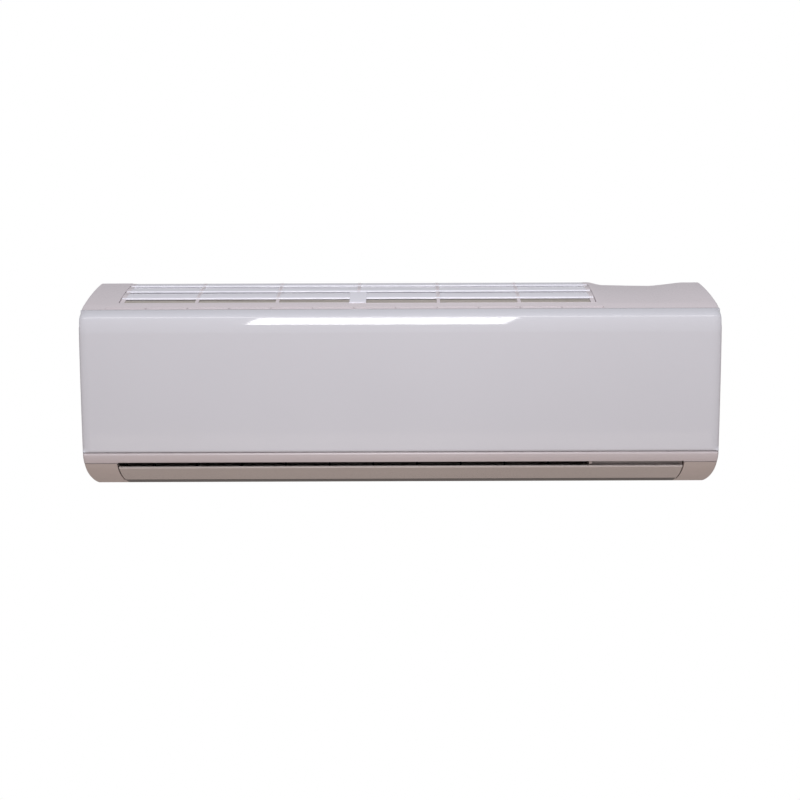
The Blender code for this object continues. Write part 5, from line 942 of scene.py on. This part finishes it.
# %% Floor
FLOOR_RADIUS, FLOOR_PLACE = 14, (0.0, -0.1, -0.80)
FADE_FROM, FADE_TO = 0.35, 0.82          # metres from the middle over which it turns to white


def pale_floor():
    """A matt floor that keeps shadows near the unit and turns to plain white further out, for the
    camera and through clear things only. It sends a warm grey light back to the unit."""
    made, tree, shader = new_finish("floor_painted_pale")
    place = add(tree, "ShaderNodeTexCoord").outputs["Object"]
    far = add(tree, "ShaderNodeVectorMath", {"operation": "LENGTH"}, {0: place})
    fade = add(tree, "ShaderNodeMapRange", {"From Min": FADE_FROM, "From Max": FADE_TO},
               {"Value": far.outputs["Value"]})
    grain = add(tree, "ShaderNodeTexNoise", {"Scale": 60.0, "Detail": 4.0}, {"Vector": place})
    tone = add(tree, "ShaderNodeValToRGB", links={"Fac": grain.outputs["Fac"]})
    tone.color_ramp.elements[0].color = linear("EDECEB")
    tone.color_ramp.elements[1].color = linear("F3F2F1")
    shader.inputs["Roughness"].default_value = 0.9
    shader.inputs["Specular IOR Level"].default_value = 0.0
    ray = add(tree, "ShaderNodeLightPath")
    colour = add(tree, "ShaderNodeMix", {"data_type": "RGBA"}, {0: ray.outputs["Is Camera Ray"]})
    colour.inputs[6].default_value = linear("D2C6BD")
    tree.links.new(tone.outputs["Color"], colour.inputs[7])
    tree.links.new(colour.outputs[2], shader.inputs["Base Color"])
    seen = add(tree, "ShaderNodeMath", {"operation": "MAXIMUM"},
               {0: ray.outputs["Is Camera Ray"], 1: ray.outputs["Is Transmission Ray"]})
    amount = add(tree, "ShaderNodeMath", {"operation": "MULTIPLY"},
                 {0: seen.outputs[0], 1: fade.outputs["Result"]})
    white = add(tree, "ShaderNodeEmission", {"Color": (1.0, 1.0, 1.0, 1.0), "Strength": 1.0})
    both = add(tree, "ShaderNodeMixShader", links={0: amount.outputs[0], 1: shader.outputs[0],
               2: white.outputs[0]})
    tree.links.new(both.outputs[0], tree.nodes["Material Output"].inputs["Surface"])
    return made


ring = np.radians(np.arange(0, 360, 5.0))
rim = [(FLOOR_RADIUS * math.cos(a), FLOOR_RADIUS * math.sin(a), 0.0) for a in ring]
mesh = bpy.data.meshes.new("floor")
mesh.from_pydata([(0.0, 0.0, 0.0)] + rim, [],
                 [(0, i + 1, (i + 1) % len(rim) + 1) for i in range(len(rim))])
floor = bpy.data.objects.new("floor", mesh)
floor.location = FLOOR_PLACE
mesh.materials.append(pale_floor())
bpy.context.scene.collection.objects.link(floor)
print("floor lies", round(-DROP - floor.location.z, 2), "m under the unit")

# %% [markdown]
# One soft lamp stands in front, above the camera's view, and is both the key light and the bright
# bar in the panel's top. A long one under the ceiling lights the grille, and a low one lifts the
# underside without showing in the gloss.

# %% World and lamps
world = bpy.data.worlds.new("studio")
bpy.context.scene.world = world
world.use_nodes = True
tree = world.node_tree
fill = tree.nodes["Background"]
fill.inputs["Color"].default_value = linear("FAFAFF")
fill.inputs["Strength"].default_value = 0.46
ray = add(tree, "ShaderNodeLightPath")
seen = add(tree, "ShaderNodeMath", {"operation": "MAXIMUM"},
           {0: ray.outputs["Is Camera Ray"], 1: ray.outputs["Is Transmission Ray"]})
white = add(tree, "ShaderNodeBackground", {"Color": (1.0, 1.0, 1.0, 1.0), "Strength": 1.0})
both = add(tree, "ShaderNodeMixShader",
           links={0: seen.outputs[0], 1: fill.outputs[0], 2: white.outputs[0]})
tree.links.new(both.outputs[0], tree.nodes["World Output"].inputs["Surface"])


def lamp(name, place, aim, wide, tall, power, roll=0.0):
    """A soft rectangular lamp that the camera itself doesn't see, turned by roll degrees."""
    light = bpy.data.lights.new(name, "AREA")
    light.shape, light.size, light.size_y, light.energy = "RECTANGLE", wide, tall, power
    made = bpy.data.objects.new(name, light)
    made.location = place
    way = np.array(aim) - np.array(place)
    turn = Vector(way).to_track_quat("-Z", "Y") @ Quaternion((0, 0, 1), math.radians(roll))
    made.rotation_euler = turn.to_euler()
    made.visible_camera = False
    bpy.context.scene.collection.objects.link(made)
    return made


key = lamp("key_softbox", place=(-0.035, -1.80, 0.84), aim=(0.0, -0.195, 0.086),
           wide=0.548, tall=0.90, power=13.0, roll=-1.7)
ceiling = lamp("ceiling_softbox", place=(0.0, -1.15, 1.65), aim=(0.0, -0.12, 0.05),
               wide=2.6, tall=0.5, power=13.0)
front_fill = lamp("front_fill", place=(0.0, -2.30, -0.55), aim=(0.0, -0.19, -0.02),
                  wide=1.8, tall=0.7, power=7.0)
front_fill.visible_glossy = False
print("lamps:", [made.data.energy for made in (key, ceiling, front_fill)], "W")
